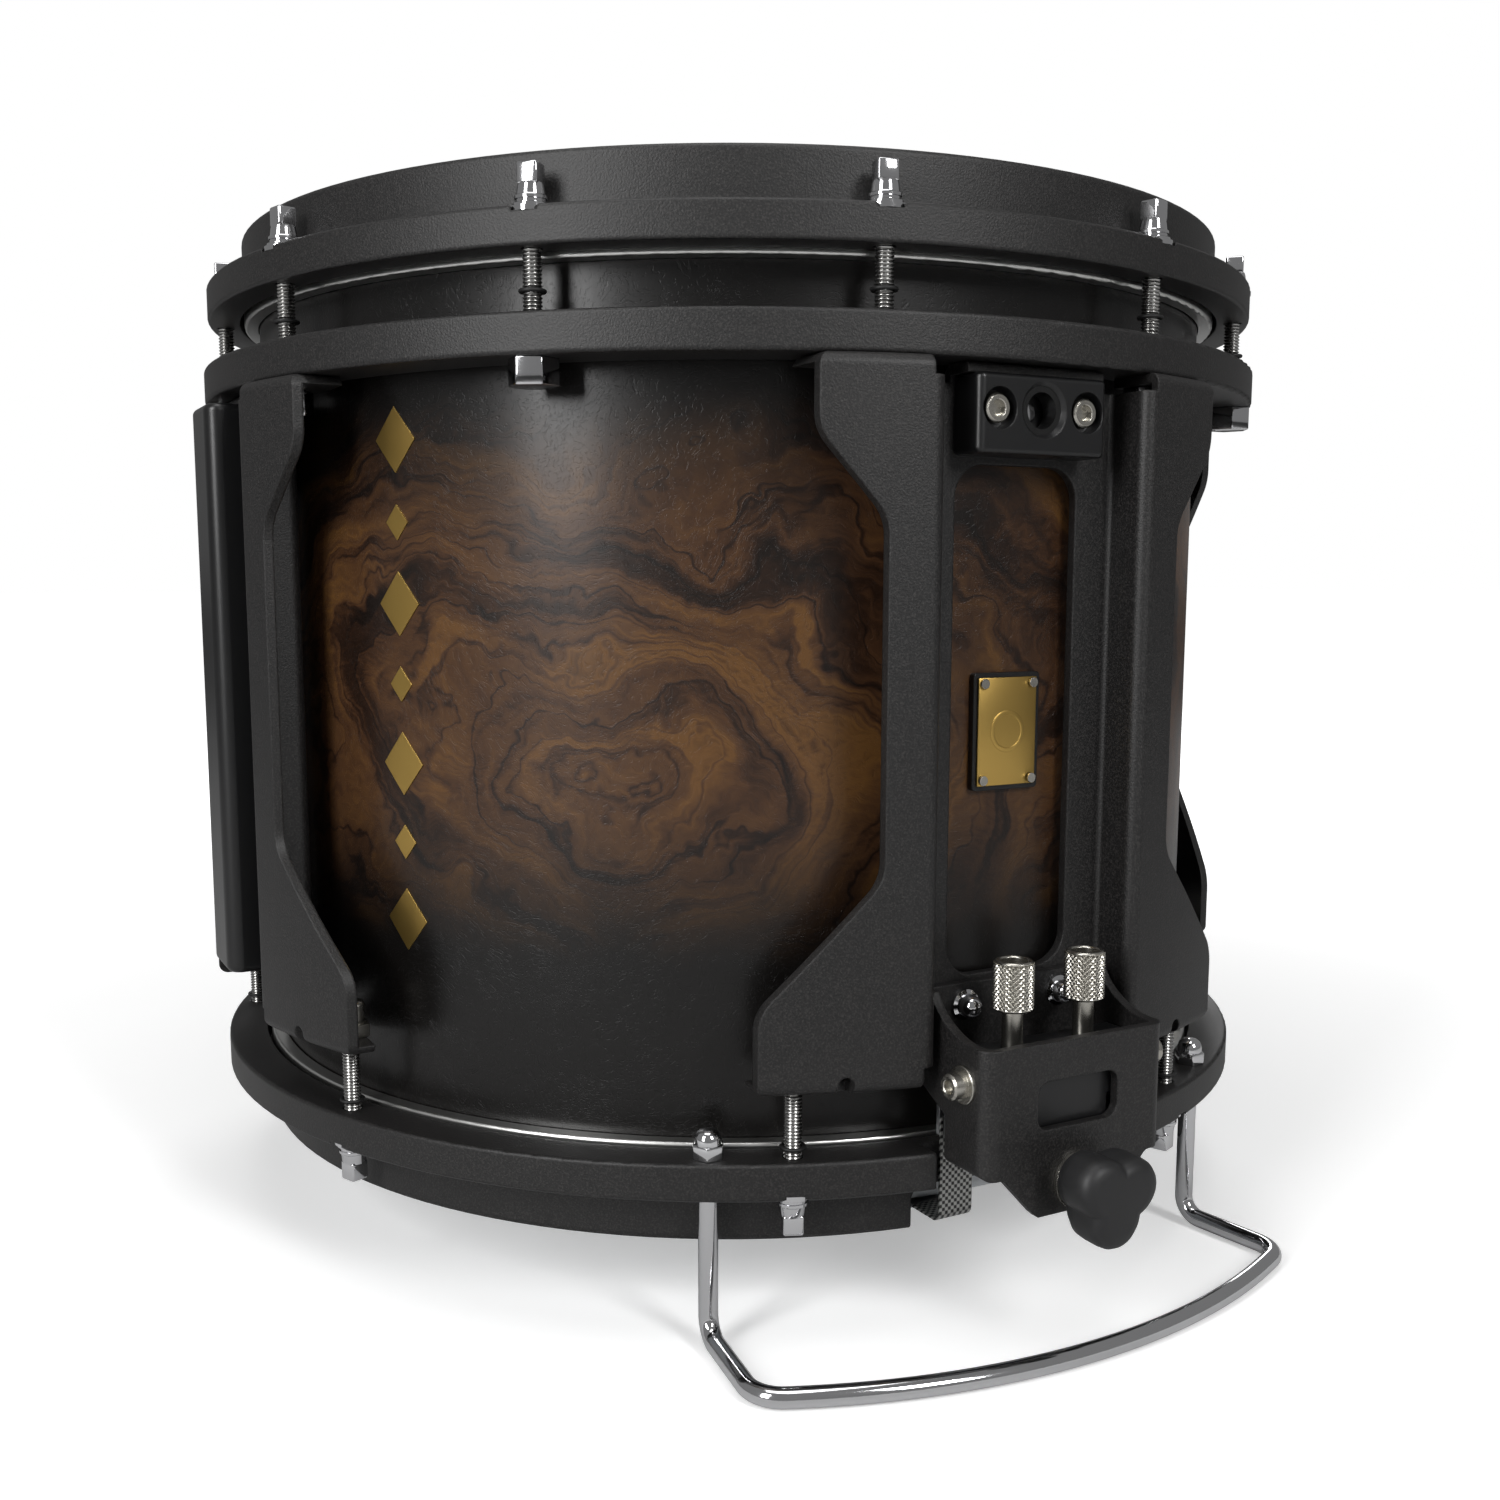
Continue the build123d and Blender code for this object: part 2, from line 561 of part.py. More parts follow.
# ---- recess covers ---------------------------------------------------------------------
with BuildPart() as cover:
    with BuildSketch(level(Z_COVER_LOW)) as cover_section:
        with Locations((0, -(BASE_OUT + COVER_FRONT) / 2)):
            Rectangle(2 * COVER_HALF, COVER_DEPTH)
        fillet(cover_section.vertices().group_by(Axis.Y)[0], COVER_CORNER)
    extrude(amount=Z_COVER - Z_COVER_LOW)
    fillet(cover.edges().group_by(Axis.Y)[0].filter_by(Axis.X), 2.5)
    with BuildSketch(FRONT.offset(BASE_OUT)):
        with Locations((0, (Z_WINDOW_TOP + Z_WINDOW_LOW) / 2)):
            Rectangle(2 * (COVER_HALF - COVER_WALL), Z_WINDOW_TOP - Z_WINDOW_LOW)
    extrude(amount=COVER_DEPTH - COVER_WALL, mode=Mode.SUBTRACT)
    pins([(0, z) for z in COVER_SCREW_Z], COVER_SCREW_D / 2 + THREAD_CLEAR, BASE_OUT, BASE_OUT + 9, Mode.SUBTRACT)

with BuildPart() as recess_cover_left:
    add(cover.part, rotation=(0, 0, -90))
save(recess_cover_left.part, "recess_cover_left")

with BuildPart() as recess_cover_right:
    add(cover.part, rotation=(0, 0, 90))
save(recess_cover_right.part, "recess_cover_right")

with BuildPart() as cover_screw_set:
    pins([(0, z) for z in COVER_SCREW_Z], COVER_SCREW_D / 2, BASE_IN, BASE_OUT + 8)

with BuildPart() as cover_screws:
    add(cover_screw_set.part, rotation=(0, 0, -90))
    add(cover_screw_set.part, rotation=(0, 0, 90))
save(cover_screws.part, "cover_screws")

# ---- carrier block ---------------------------------------------------------------------
BLOCK_SCREWS = [(-BLOCK_SCREW_X, Z_BLOCK_SCREW), (BLOCK_SCREW_X, Z_BLOCK_SCREW)]
with BuildPart() as carrier_block:
    with BuildSketch(level(Z_BLOCK_LOW)) as block_section:
        with Locations((0, -(BASE_OUT + BLOCK_FRONT) / 2)):
            Rectangle(2 * BLOCK_HALF, BLOCK_DEPTH)
        fillet(block_section.vertices().group_by(Axis.Y)[0], 2.4)
    extrude(amount=BLOCK_HEIGHT)
    fillet(carrier_block.edges().group_by(Axis.Y)[0].filter_by(Axis.X), 1.6)
    pins(BLOCK_SCREWS, COUNTERBORE_D / 2, BLOCK_FRONT - COUNTERBORE_DEPTH, BLOCK_FRONT + 1, Mode.SUBTRACT)
    pins(BLOCK_SCREWS, M5_HOLE, BASE_OUT - 1, BLOCK_FRONT, Mode.SUBTRACT)
    pins([(0, Z_BLOCK_SCREW)], BUSH_OD / 2, BLOCK_FRONT - BUSH_DEPTH, BLOCK_FRONT + 1, Mode.SUBTRACT)
    chamfer(carrier_block.faces().sort_by(Axis.Y)[0].edges().filter_by(GeomType.CIRCLE).sort_by(SortBy.RADIUS)[-1], 1.2)
save(carrier_block.part, "carrier_block")

with BuildPart() as carrier_bush:
    pins([(0, Z_BLOCK_SCREW)], BUSH_OD / 2, BLOCK_FRONT - BUSH_DEPTH + BUTTON_RISE + 0.1, BLOCK_FRONT - 1.3)
    pins([(0, Z_BLOCK_SCREW)], BUSH_ID / 2, BLOCK_FRONT - BUSH_DEPTH, BLOCK_FRONT, Mode.SUBTRACT)
save(carrier_bush.part, "carrier_bush")

with BuildPart() as carrier_button:
    pins([(0, Z_BLOCK_SCREW)], BUTTON_D / 2, BLOCK_FRONT - BUSH_DEPTH, BLOCK_FRONT - BUSH_DEPTH + BUTTON_RISE)
    fillet(carrier_button.edges().group_by(Axis.Y)[0], 0.9)
save(carrier_button.part, "carrier_button")


def cap_screws(points, seat, tip, head_d, head_h, key):
    """Socket head screws along the outward direction, seated at a depth."""
    pins(points, M5_D / 2, tip, seat)
    pins(points, head_d / 2, seat, seat + head_h)
    with BuildSketch(FRONT.offset(seat + head_h - 2.2)) as sockets:
        with Locations(*points):
            RegularPolygon(key / 2, 6, major_radius=False)
    extrude(sockets.sketch, amount=3, mode=Mode.SUBTRACT)


with BuildPart() as carrier_screws:
    cap_screws(BLOCK_SCREWS, BLOCK_FRONT - COUNTERBORE_DEPTH, BASE_IN, M5_HEAD_D, M5_HEAD_H, M5_KEY)
save(carrier_screws.part, "carrier_screws")

# ---- tension rods and their hardware ---------------------------------------------------
def rod(seat, tip, side):
    """Square-headed rod on its own axis; side is 1 with the head on top and -1 below."""
    with BuildPart() as one:
        with BuildSketch(level(tip)):
            Circle(ROD_R)
        extrude(amount=seat - tip)
        with BuildSketch(level(seat)):
            Circle(COLLAR_D / 2)
        extrude(amount=side * COLLAR_HEIGHT)
        with BuildSketch(level(seat + side * COLLAR_HEIGHT)):
            Circle(NECK_D / 2)
        extrude(amount=side * NECK_HEIGHT)
        with BuildSketch(level(seat + side * (COLLAR_HEIGHT + NECK_HEIGHT))):
            RectangleRounded(HEAD_SQUARE, HEAD_SQUARE, 0.8)
        extrude(amount=side * HEAD_HEIGHT)
    return one.part


def washer(z, outer, inner, thick):
    """Flat ring on its own axis, rising from a height."""
    with BuildPart() as one:
        with BuildSketch(level(z)):
            Circle(outer)
            Circle(inner, mode=Mode.SUBTRACT)
        extrude(amount=thick)
    return one.part


def nut(z, height, across, bore):
    """Hexagon nut on its own axis, rising from a height."""
    with BuildPart() as one:
        with BuildSketch(level(z)):
            RegularPolygon(across / 2, 6, major_radius=False, rotation=30 + NUT_TURN)
            Circle(bore, mode=Mode.SUBTRACT)
        extrude(amount=height)
    return one.part


def o_ring(z):
    """Rubber ring round a rod's thread."""
    with BuildPart() as one:
        with BuildSketch(FRONT):
            with Locations((NUT_BORE + O_RING / 2, z)):
                Circle(O_RING / 2)
        revolve(axis=Axis.Z)
    return one.part


Z_ROD_END = Z_TAB_LOW - NUT_HEIGHT + ROD_SHORT
with BuildPart() as top_tension_rods:
    add(around(rod(Z_FLANGE, Z_ROD_END, 1), TOP_ROD_R, TOP_ANGLES))
save(top_tension_rods.part, "top_tension_rods")

BARREL_D = 10.9
BARREL_BASE = 5.0
BARREL_H = 12.1
Z_LOW_ROD_END = Z_FOOT + SHEET + BARREL_H - 3.0
with BuildPart() as bottom_tension_rods:
    add(around(rod(Z_SNARE_FACE, Z_LOW_ROD_END, -1), BOTTOM_ROD_R, BOTTOM_ANGLES))
save(bottom_tension_rods.part, "bottom_tension_rods")

with BuildPart() as rod_washers:
    add(around(washer(Z_FLANGE - WASHER_T, WASHER_D / 2, ROD_HOLE, WASHER_T), TOP_ROD_R, TOP_ANGLES))
    add(around(washer(Z_SNARE_FACE, WASHER_D / 2, ROD_HOLE, WASHER_T), BOTTOM_ROD_R, BOTTOM_ANGLES))
save(rod_washers.part, "rod_washers")

Z_TOP_O_RING = (Z_FLANGE_LOW + Z_RING) / 2 - 2.6
Z_LOW_O_RING = Z_SNARE_TOP + 3.0
with BuildPart() as rod_o_rings:
    add(around(o_ring(Z_TOP_O_RING), TOP_ROD_R, TOP_ANGLES))
    add(around(o_ring(Z_LOW_O_RING), BOTTOM_ROD_R, BOTTOM_ANGLES))
save(rod_o_rings.part, "rod_o_rings")


def over_tab(a):
    """True where a top rod passes through an upright's tab."""
    return abs((a + 45) % 90 - 45) < 20


with BuildPart() as top_nuts:
    add(around(nut(Z_TAB_LOW - NUT_HEIGHT, NUT_HEIGHT, NUT_AF, NUT_BORE), TOP_ROD_R,
               [a for a in TOP_ANGLES if over_tab(a)]))
    add(around(nut(Z_RING_LOW - NUT_HEIGHT, NUT_HEIGHT, NUT_AF, NUT_BORE), TOP_ROD_R,
               [a for a in TOP_ANGLES if not over_tab(a)]))
save(top_nuts.part, "top_nuts")

with BuildPart() as barrel_nut:
    with BuildSketch(level(Z_FOOT + SHEET)):
        RegularPolygon(FOOT_NUT_AF / 2, 6, major_radius=False)
    extrude(amount=BARREL_BASE)
    with BuildSketch(level(Z_FOOT + SHEET)):
        Circle(BARREL_D / 2)
    extrude(amount=BARREL_H)
    fillet(barrel_nut.edges().group_by(Axis.Z)[-1], 2.2)
    with BuildSketch(level(Z_FOOT + SHEET)):
        Circle(NUT_BORE)
    extrude(amount=BARREL_H - 2.5, mode=Mode.SUBTRACT)

with BuildPart() as bottom_nuts:
    add(around(barrel_nut.part, BOTTOM_ROD_R, BOTTOM_ANGLES))
save(bottom_nuts.part, "bottom_nuts")

# ---- leg rest --------------------------------------------------------------------------
LEG_X = BOTTOM_ROD_R * math.sin(math.radians(LEG_ANGLE))
LEG_Y = -BOTTOM_ROD_R * math.cos(math.radians(LEG_ANGLE))
LEG_CORNER_Y = -math.sqrt(LEG_ARC ** 2 - LEG_CORNER_X ** 2)
Z_LEG_TOP = Z_SNARE_TOP + LEG_NUT_H - 3.5
leg_dir = Vector(LEG_CORNER_X - LEG_X, LEG_CORNER_Y - LEG_Y, 0).normalized()
foot_z = MID + Z_LEG

with BuildPart() as leg_rest:
    with BuildSketch(level(Z_LEG_TOP)):
        with Locations((LEG_X, LEG_Y)):
            Circle(LEG_R)
    extrude(amount=Z_LEG + LEG_BEND - Z_LEG_TOP)
    with BuildLine() as front_path:
        start = Vector(LEG_X, LEG_Y, foot_z) + leg_dir * LEG_BEND
        bend_c = Vector(LEG_X, LEG_Y, foot_z + LEG_BEND) + leg_dir * LEG_BEND
        elbow = bend_c + (Vector(0, 0, -1) - leg_dir) * (LEG_BEND / math.sqrt(2))
        ThreePointArc((LEG_X, LEG_Y, foot_z + LEG_BEND), elbow, start)
        straight = Vector(LEG_CORNER_X, LEG_CORNER_Y, foot_z)
        with BuildLine(mode=Mode.PRIVATE) as plan:
            Line((start.X, start.Y), (LEG_CORNER_X, LEG_CORNER_Y))
            ThreePointArc((LEG_CORNER_X, LEG_CORNER_Y), (0, -LEG_ARC), (-LEG_CORNER_X, LEG_CORNER_Y))
            Line((-LEG_CORNER_X, LEG_CORNER_Y), (-start.X, start.Y))
            fillet([plan.vertices().sort_by_distance((LEG_CORNER_X, LEG_CORNER_Y, 0))[0],
                    plan.vertices().sort_by_distance((-LEG_CORNER_X, LEG_CORNER_Y, 0))[0]], LEG_CORNER)
        add([Pos(0, 0, foot_z) * e for e in plan.edges()])
        ThreePointArc((-start.X, start.Y, foot_z), (-elbow.X, elbow.Y, elbow.Z), (-LEG_X, LEG_Y, foot_z + LEG_BEND))
    with BuildSketch(level(Z_LEG + LEG_BEND)):
        with Locations((LEG_X, LEG_Y)):
            Circle(LEG_R)
    sweep(path=front_path.wires()[0])
    with BuildSketch(level(Z_LEG_TOP)):
        with Locations((-LEG_X, LEG_Y)):
            Circle(LEG_R)
    extrude(amount=Z_LEG + LEG_BEND - Z_LEG_TOP)
save(leg_rest.part, "leg_rest")

with BuildPart() as acorn_nut:
    with BuildSketch(level(Z_SNARE_TOP)):
        RegularPolygon(LEG_NUT_D / 2, 6, major_radius=False)
    extrude(amount=LEG_NUT_H * 0.5)
    with BuildSketch(level(Z_SNARE_TOP)):
        Circle(LEG_NUT_D / 2 - 0.3)
    extrude(amount=LEG_NUT_H)
    fillet(acorn_nut.edges().group_by(Axis.Z)[-1], 3.2)
    with BuildSketch(level(Z_SNARE_TOP)):
        Circle(LEG_R + THREAD_CLEAR)
    extrude(amount=LEG_NUT_H - 3.0, mode=Mode.SUBTRACT)

with BuildPart() as leg_rest_nuts:
    add(around(acorn_nut.part, BOTTOM_ROD_R, (-LEG_ANGLE, LEG_ANGLE)))
save(leg_rest_nuts.part, "leg_rest_nuts")

# ---- badge and inlay -------------------------------------------------------------------
BADGE_SEAT = SHELL_R + 1.8
with BuildPart() as badge_backing:
    with BuildSketch(FRONT.offset(SHELL_R - 3)):
        with Locations((0, BADGE_MID)):
            RectangleRounded(BADGE_W, BADGE_H, 1.2)
    extrude(amount=BADGE_SEAT - SHELL_R + 3)
    with BuildSketch(level(-HALF)):
        Circle(SHELL_R)
    extrude(amount=SHELL_LENGTH, mode=Mode.SUBTRACT)
save(badge_backing.part, "badge_backing")

with BuildPart() as badge_plate:
    with BuildSketch(FRONT.offset(BADGE_SEAT)):
        with Locations((0, BADGE_MID)):
            RectangleRounded(BADGE_W - 2 * BADGE_INSET, BADGE_H - 2 * BADGE_INSET, 1.0)
    extrude(amount=BADGE_T)
save(badge_plate.part, "badge_plate")

with BuildPart() as badge_screws:
    with BuildSketch(FRONT.offset(BADGE_SEAT + BADGE_T)):
        with Locations((0, BADGE_MID)):
            with GridLocations(BADGE_W - 2 * BADGE_SCREW_IN, BADGE_H - 2 * BADGE_SCREW_IN, 2, 2):
                Circle(BADGE_SCREW_D / 2)
    extrude(amount=0.7)
save(badge_screws.part, "badge_screws")

with BuildPart() as shell_inlay:
    with BuildSketch(level(-HALF)):
        Circle(SHELL_R + INLAY_T)
        Circle(SHELL_R, mode=Mode.SUBTRACT)
    extrude(amount=SHELL_LENGTH)
    prisms = []
    for i in range(INLAY_COUNT):
        z = INLAY_MID + (i - (INLAY_COUNT - 1) / 2) * INLAY_PITCH
        grow = 1.0 if i % 2 == 0 else 0.55
        with BuildSketch(FRONT.offset(SHELL_R - 20), mode=Mode.PRIVATE) as gem:
            with BuildLine():
                Polyline((0, z - 10 * grow), (INLAY_HALF_W * grow, z), (0, z + 10 * grow),
                         (-INLAY_HALF_W * grow, z), close=True)
            make_face()
        prisms.append(extrude(gem.sketch, amount=40, mode=Mode.PRIVATE))
    turned = [Rot(0, 0, a) * p for a in INLAY_ANGLES for p in prisms]
    add(Compound(children=[s for t in turned for s in t.solids()]), mode=Mode.INTERSECT)
save(shell_inlay.part, "shell_inlay")

# ---- snare release bracket -------------------------------------------------------------
with BuildPart() as strainer_bracket:
    with BuildSketch(level(Z_TONGUE)) as bracket_section:
        with Locations((0, -(BASE_OUT + BR_FRONT) / 2)):
            Rectangle(2 * BR_HALF, BR_DEPTH)
        fillet(bracket_section.vertices().group_by(Axis.Y)[0], BR_CORNER)
        with Locations((0, -(BASE_OUT + BR_FRONT) / 2)):
            RectangleRounded(2 * (BR_HALF - BR_WALL), BR_DEPTH - 2 * BR_WALL, BR_CORNER - BR_WALL, mode=Mode.SUBTRACT)
    extrude(amount=Z_BR_TOP - Z_TONGUE)
    face_half = [(BR_HALF, Z_BR_TOP), (BR_HALF, Z_BR_LOW), (BR_SHOULDER_HALF, Z_BR_LOW),
                 (BR_TONGUE_HALF, Z_TONGUE + 1.7), (BR_TONGUE_HALF - 2, Z_TONGUE)]
    with BuildSketch(FRONT.offset(BASE_OUT - 1)) as face:
        with BuildLine():
            Polyline(*face_half, *[(-x, z) for x, z in reversed(face_half)], close=True)
        make_face()
        fillet([corner(face, s * BR_HALF, Z_BR_LOW) for s in (-1, 1)], 3.0)
        fillet([corner(face, s * BR_SHOULDER_HALF, Z_BR_LOW) for s in (-1, 1)], 3.0)
    extrude(amount=BR_DEPTH + 2, mode=Mode.INTERSECT)
    with BuildSketch(SIDE.offset(-BR_HALF - 1)) as cheek:
        with BuildLine():
            top_run = Line((BASE_OUT, Z_BR_TOP), (BASE_OUT + 7.8, Z_BR_TOP))
            Spline(top_run @ 1, (BASE_OUT + 16.0, Z_BR_FRONT + 3.4), (BR_FRONT - 6.4, Z_BR_FRONT),
                   tangents=[(0.5, -1), (1, 0)])
            Polyline((BR_FRONT - 6.4, Z_BR_FRONT), (BR_FRONT, Z_BR_FRONT), (BR_FRONT, Z_TONGUE),
                     (BR_INSIDE - 0.4, Z_TONGUE), (BR_INSIDE - 0.4, Z_BR_LOW), (BASE_OUT + BR_REAR_DEPTH, Z_BR_LOW),
                     (BASE_OUT + BR_REAR_DEPTH, Z_FOOT - 8.4), (BASE_OUT, Z_FOOT), (BASE_OUT, Z_BR_TOP))
        make_face()
    extrude(amount=2 * BR_HALF + 2, mode=Mode.INTERSECT)
    with BuildSketch(FRONT.offset(BR_INSIDE - 1)):
        with Locations((0, Z_FOOT - 3.4)):
            RectangleRounded(2 * BR_WINDOW_HALF, 14.6, 4.0)
    extrude(amount=BR_WALL + 2, mode=Mode.SUBTRACT)
    pins([(-BR_SCREW_X, Z_BR_SCREW), (BR_SCREW_X, Z_BR_SCREW)], M5_HOLE, BASE_OUT - 1, BASE_OUT + BR_WALL + 1,
         Mode.SUBTRACT)
    pins([(0, Z_CAM)], SPINDLE_D / 2 + RUN, BR_INSIDE - 1, BR_FRONT + 1, Mode.SUBTRACT)
    with BuildSketch(SIDE.offset(-BR_HALF - 1)):
        with Locations((SIDE_BOLT_Y, Z_SIDE_BOLT)):
            Circle(M5_HOLE)
    extrude(amount=2 * BR_HALF + 2, mode=Mode.SUBTRACT)
save(strainer_bracket.part, "strainer_bracket")

with BuildPart() as strainer_screws:
    pins([(-BR_SCREW_X, Z_BR_SCREW), (BR_SCREW_X, Z_BR_SCREW)], M5_D / 2, BASE_IN, BASE_OUT + BR_WALL)
    pins([(-BR_SCREW_X, Z_BR_SCREW), (BR_SCREW_X, Z_BR_SCREW)], 4.75, BASE_OUT + BR_WALL, BASE_OUT + BR_WALL + 7.0)
    fillet(strainer_screws.edges().group_by(Axis.Y)[0], 3.0)
save(strainer_screws.part, "strainer_screws")

with BuildPart() as side_bolts:
    for side in (-1, 1):
        with BuildSketch(SIDE.offset(side * (BR_HALF - 6.5))):
            with Locations((SIDE_BOLT_Y, Z_SIDE_BOLT)):
                Circle(M5_D / 2)
        extrude(amount=side * 6.5)
        with BuildSketch(SIDE.offset(side * BR_HALF)):
            with Locations((SIDE_BOLT_Y, Z_SIDE_BOLT)):
                Circle(SIDE_WASHER_D / 2)
        extrude(amount=side * SIDE_WASHER_T)
        with BuildSketch(SIDE.offset(side * (BR_HALF + SIDE_WASHER_T))):
            with Locations((SIDE_BOLT_Y, Z_SIDE_BOLT)):
                Circle(SIDE_HEAD_D / 2)
                RegularPolygon(M5_KEY / 2, 6, major_radius=False, mode=Mode.SUBTRACT)
        extrude(amount=side * SIDE_HEAD_H)
save(side_bolts.part, "side_bolts")

# ---- carriage that the release raises and lowers ---------------------------------------
ADJ_POINTS = [(-ADJ_X, -ADJ_Y), (ADJ_X, -ADJ_Y)]
Z_CAM_REST = Z_CAM + CAM_THROW
SLOT_HALF = CAM_R + 0.75
with BuildPart() as snare_carriage:
    with BuildSketch(level(Z_CARRIAGE - CARRIAGE_H)):
        with Locations((0, -(CARRIAGE_REAR + CARRIAGE_FRONT) / 2)):
            Rectangle(2 * CARRIAGE_HALF, CARRIAGE_FRONT - CARRIAGE_REAR)
    extrude(amount=CARRIAGE_H)
    with BuildSketch(FRONT.offset(CARRIAGE_FRONT - SKIRT_T)):
        with Locations((0, (Z_CARRIAGE - CARRIAGE_H + Z_CAM_REST - SLOT_HALF - 3) / 2)):
            Rectangle(2 * SKIRT_HALF, Z_CARRIAGE - CARRIAGE_H - (Z_CAM_REST - SLOT_HALF - 3))
    extrude(amount=SKIRT_T)
    with BuildSketch(FRONT.offset(CARRIAGE_FRONT - SKIRT_T - 1)):
        with Locations((0, Z_CAM_REST)):
            RectangleRounded(2 * (CAM_R + CAM_THROW + 0.6), 2 * SLOT_HALF, 2.0)
    extrude(amount=SKIRT_T + 2, mode=Mode.SUBTRACT)
    with BuildSketch(level(Z_CARRIAGE - CARRIAGE_H - 1)):
        with Locations(*ADJ_POINTS):
            Circle(ADJ_SHAFT_D / 2 + RUN)
    extrude(amount=CARRIAGE_H + 2, mode=Mode.SUBTRACT)
    for side in (-1, 1):
        with BuildSketch(SIDE.offset(side * CARRIAGE_HALF)):
            with Locations((SIDE_BOLT_Y, Z_SIDE_BOLT + RELEASE_DROP / 2)):
                Rectangle(M5_D + 0.8, M5_D + RELEASE_DROP + 0.8)
        extrude(amount=-side * 3.2, mode=Mode.SUBTRACT)
save(snare_carriage.part, "snare_carriage")

Z_KNURL = Z_FOOT + KNURL_UP
Z_ADJ_END = Z_TRAVELLER - TRAVELLER_H - 0.5


def adjuster(x):
    """Knurled adjusting screw, hollow at the top."""
    with BuildPart() as one:
        with BuildSketch(level(Z_KNURL)):
            with Locations((x, -ADJ_Y)):
                Circle(KNURL_D / 2)
        extrude(amount=KNURL_H)
        with BuildSketch(level(Z_KNURL + KNURL_H - 11)):
            with Locations((x, -ADJ_Y)):
                Circle(ADJ_BORE_D / 2)
        extrude(amount=12, mode=Mode.SUBTRACT)
        with BuildSketch(level(Z_KNURL)):
            with Locations((x, -ADJ_Y)):
                Circle(ADJ_SHAFT_D / 2)
        extrude(amount=Z_CARRIAGE - CARRIAGE_H - Z_KNURL)
        with BuildSketch(level(Z_CARRIAGE - CARRIAGE_H)):
            with Locations((x, -ADJ_Y)):
                Circle(ADJ_THREAD_D / 2)
        extrude(amount=Z_ADJ_END - (Z_CARRIAGE - CARRIAGE_H))
    return one.part


with BuildPart() as adjuster_left:
    add(adjuster(-ADJ_X))
save(adjuster_left.part, "adjuster_left")

with BuildPart() as adjuster_right:
    add(adjuster(ADJ_X))
save(adjuster_right.part, "adjuster_right")

TRAVELLER_REAR = SHELL_R + GATE_NECK + 0.8
TRAVELLER_FRONT = CARRIAGE_FRONT - SKIRT_T - 0.8


def traveller(side):
    """Sliding nut that grips one snare strap."""
    with BuildPart() as one:
        with BuildSketch(level(Z_TRAVELLER - TRAVELLER_H)):
            with Locations((side * (TRAVELLER_IN + TRAVELLER_HALF) / 2, -(TRAVELLER_REAR + TRAVELLER_FRONT) / 2)):
                Rectangle(TRAVELLER_HALF - TRAVELLER_IN, TRAVELLER_FRONT - TRAVELLER_REAR)
            with Locations((side * ADJ_X, -ADJ_Y)):
                Circle(ADJ_THREAD_D / 2 + RUN, mode=Mode.SUBTRACT)
        extrude(amount=TRAVELLER_H)
        with BuildSketch(level(Z_TRAVELLER - TRAVELLER_H - 1)):
            with Locations((side * (STRAP_IN + STRAP_W / 2 + 2), -STRAP_Y)):
                Rectangle(STRAP_W + 6, STRAP_T + 1.7)
        extrude(amount=TRAVELLER_H - 1.5, mode=Mode.SUBTRACT)
    return one.part


with BuildPart() as traveller_left:
    add(traveller(-1))
save(traveller_left.part, "traveller_left")

with BuildPart() as traveller_right:
    add(traveller(1))
save(traveller_right.part, "traveller_right")

# ---- release knob ----------------------------------------------------------------------
KNOB_BACK = BR_FRONT + RUN + KNOB_WASHER_T
with BuildPart() as release_spindle:
    pins([(0, Z_CAM_REST)], CAM_R, CARRIAGE_FRONT - SKIRT_T - 0.4, BR_INSIDE - 0.3)
    pins([(0, Z_CAM)], SPINDLE_D / 2, BR_INSIDE - 0.3, KNOB_BACK + 12)
save(release_spindle.part, "release_spindle")

with BuildPart() as knob_washer:
    with BuildSketch(FRONT.offset(BR_FRONT + RUN)):
        with Locations((0, Z_CAM)):
            Circle(KNOB_WASHER_D / 2)
            Circle(SPINDLE_D / 2 + RUN, mode=Mode.SUBTRACT)
    extrude(amount=KNOB_WASHER_T)
save(knob_washer.part, "knob_washer")

LOBE_OUT = KNOB_D / 2 - LOBE_R
with BuildPart() as release_knob:
    with BuildSketch(FRONT.offset(KNOB_BACK + KNOB_NECK)) as knob_section:
        with Locations((0, Z_CAM)):
            with PolarLocations(LOBE_OUT, 3, start_angle=KNOB_TURN):
                Circle(LOBE_R)
        fillet(knob_section.vertices(), 3.4)
    extrude(amount=KNOB_DEPTH - KNOB_NECK)
    fillet(release_knob.edges().group_by(Axis.Y)[0], 2.0)
    pins([(0, Z_CAM)], KNOB_WASHER_D / 2 - 0.6, KNOB_BACK, KNOB_BACK + KNOB_NECK + 1)
    pins([(0, Z_CAM)], SPINDLE_D / 2, KNOB_BACK, KNOB_BACK + 12, Mode.SUBTRACT)
save(release_knob.part, "release_knob")

# ---- bottom snares ---------------------------------------------------------------------
STRIPS = [s * (STRAP_IN + STRAP_W / 2) for s in (-1, 1)]
with BuildPart() as snare_wires:
    with BuildSketch(Plane.XZ.offset(-WIRE_HALF)):
        for x in STRIPS:
            with Locations((x, MID + Z_WIRE)):
                with GridLocations(WIRE_PITCH, 1, WIRES, 1):
                    Circle(WIRE_D / 2)
    extrude(amount=2 * WIRE_HALF)
save(snare_wires.part, "snare_wires")

with BuildPart() as snare_end_plates:
    with BuildSketch(level(Z_WIRE - PLATE_T / 2)):
        for x in STRIPS:
            for y in (-1, 1):
                with Locations((x, y * (WIRE_HALF + PLATE_L / 2))):
                    Rectangle(STRAP_W + 1, PLATE_L)
    extrude(amount=PLATE_T)
save(snare_end_plates.part, "snare_end_plates")

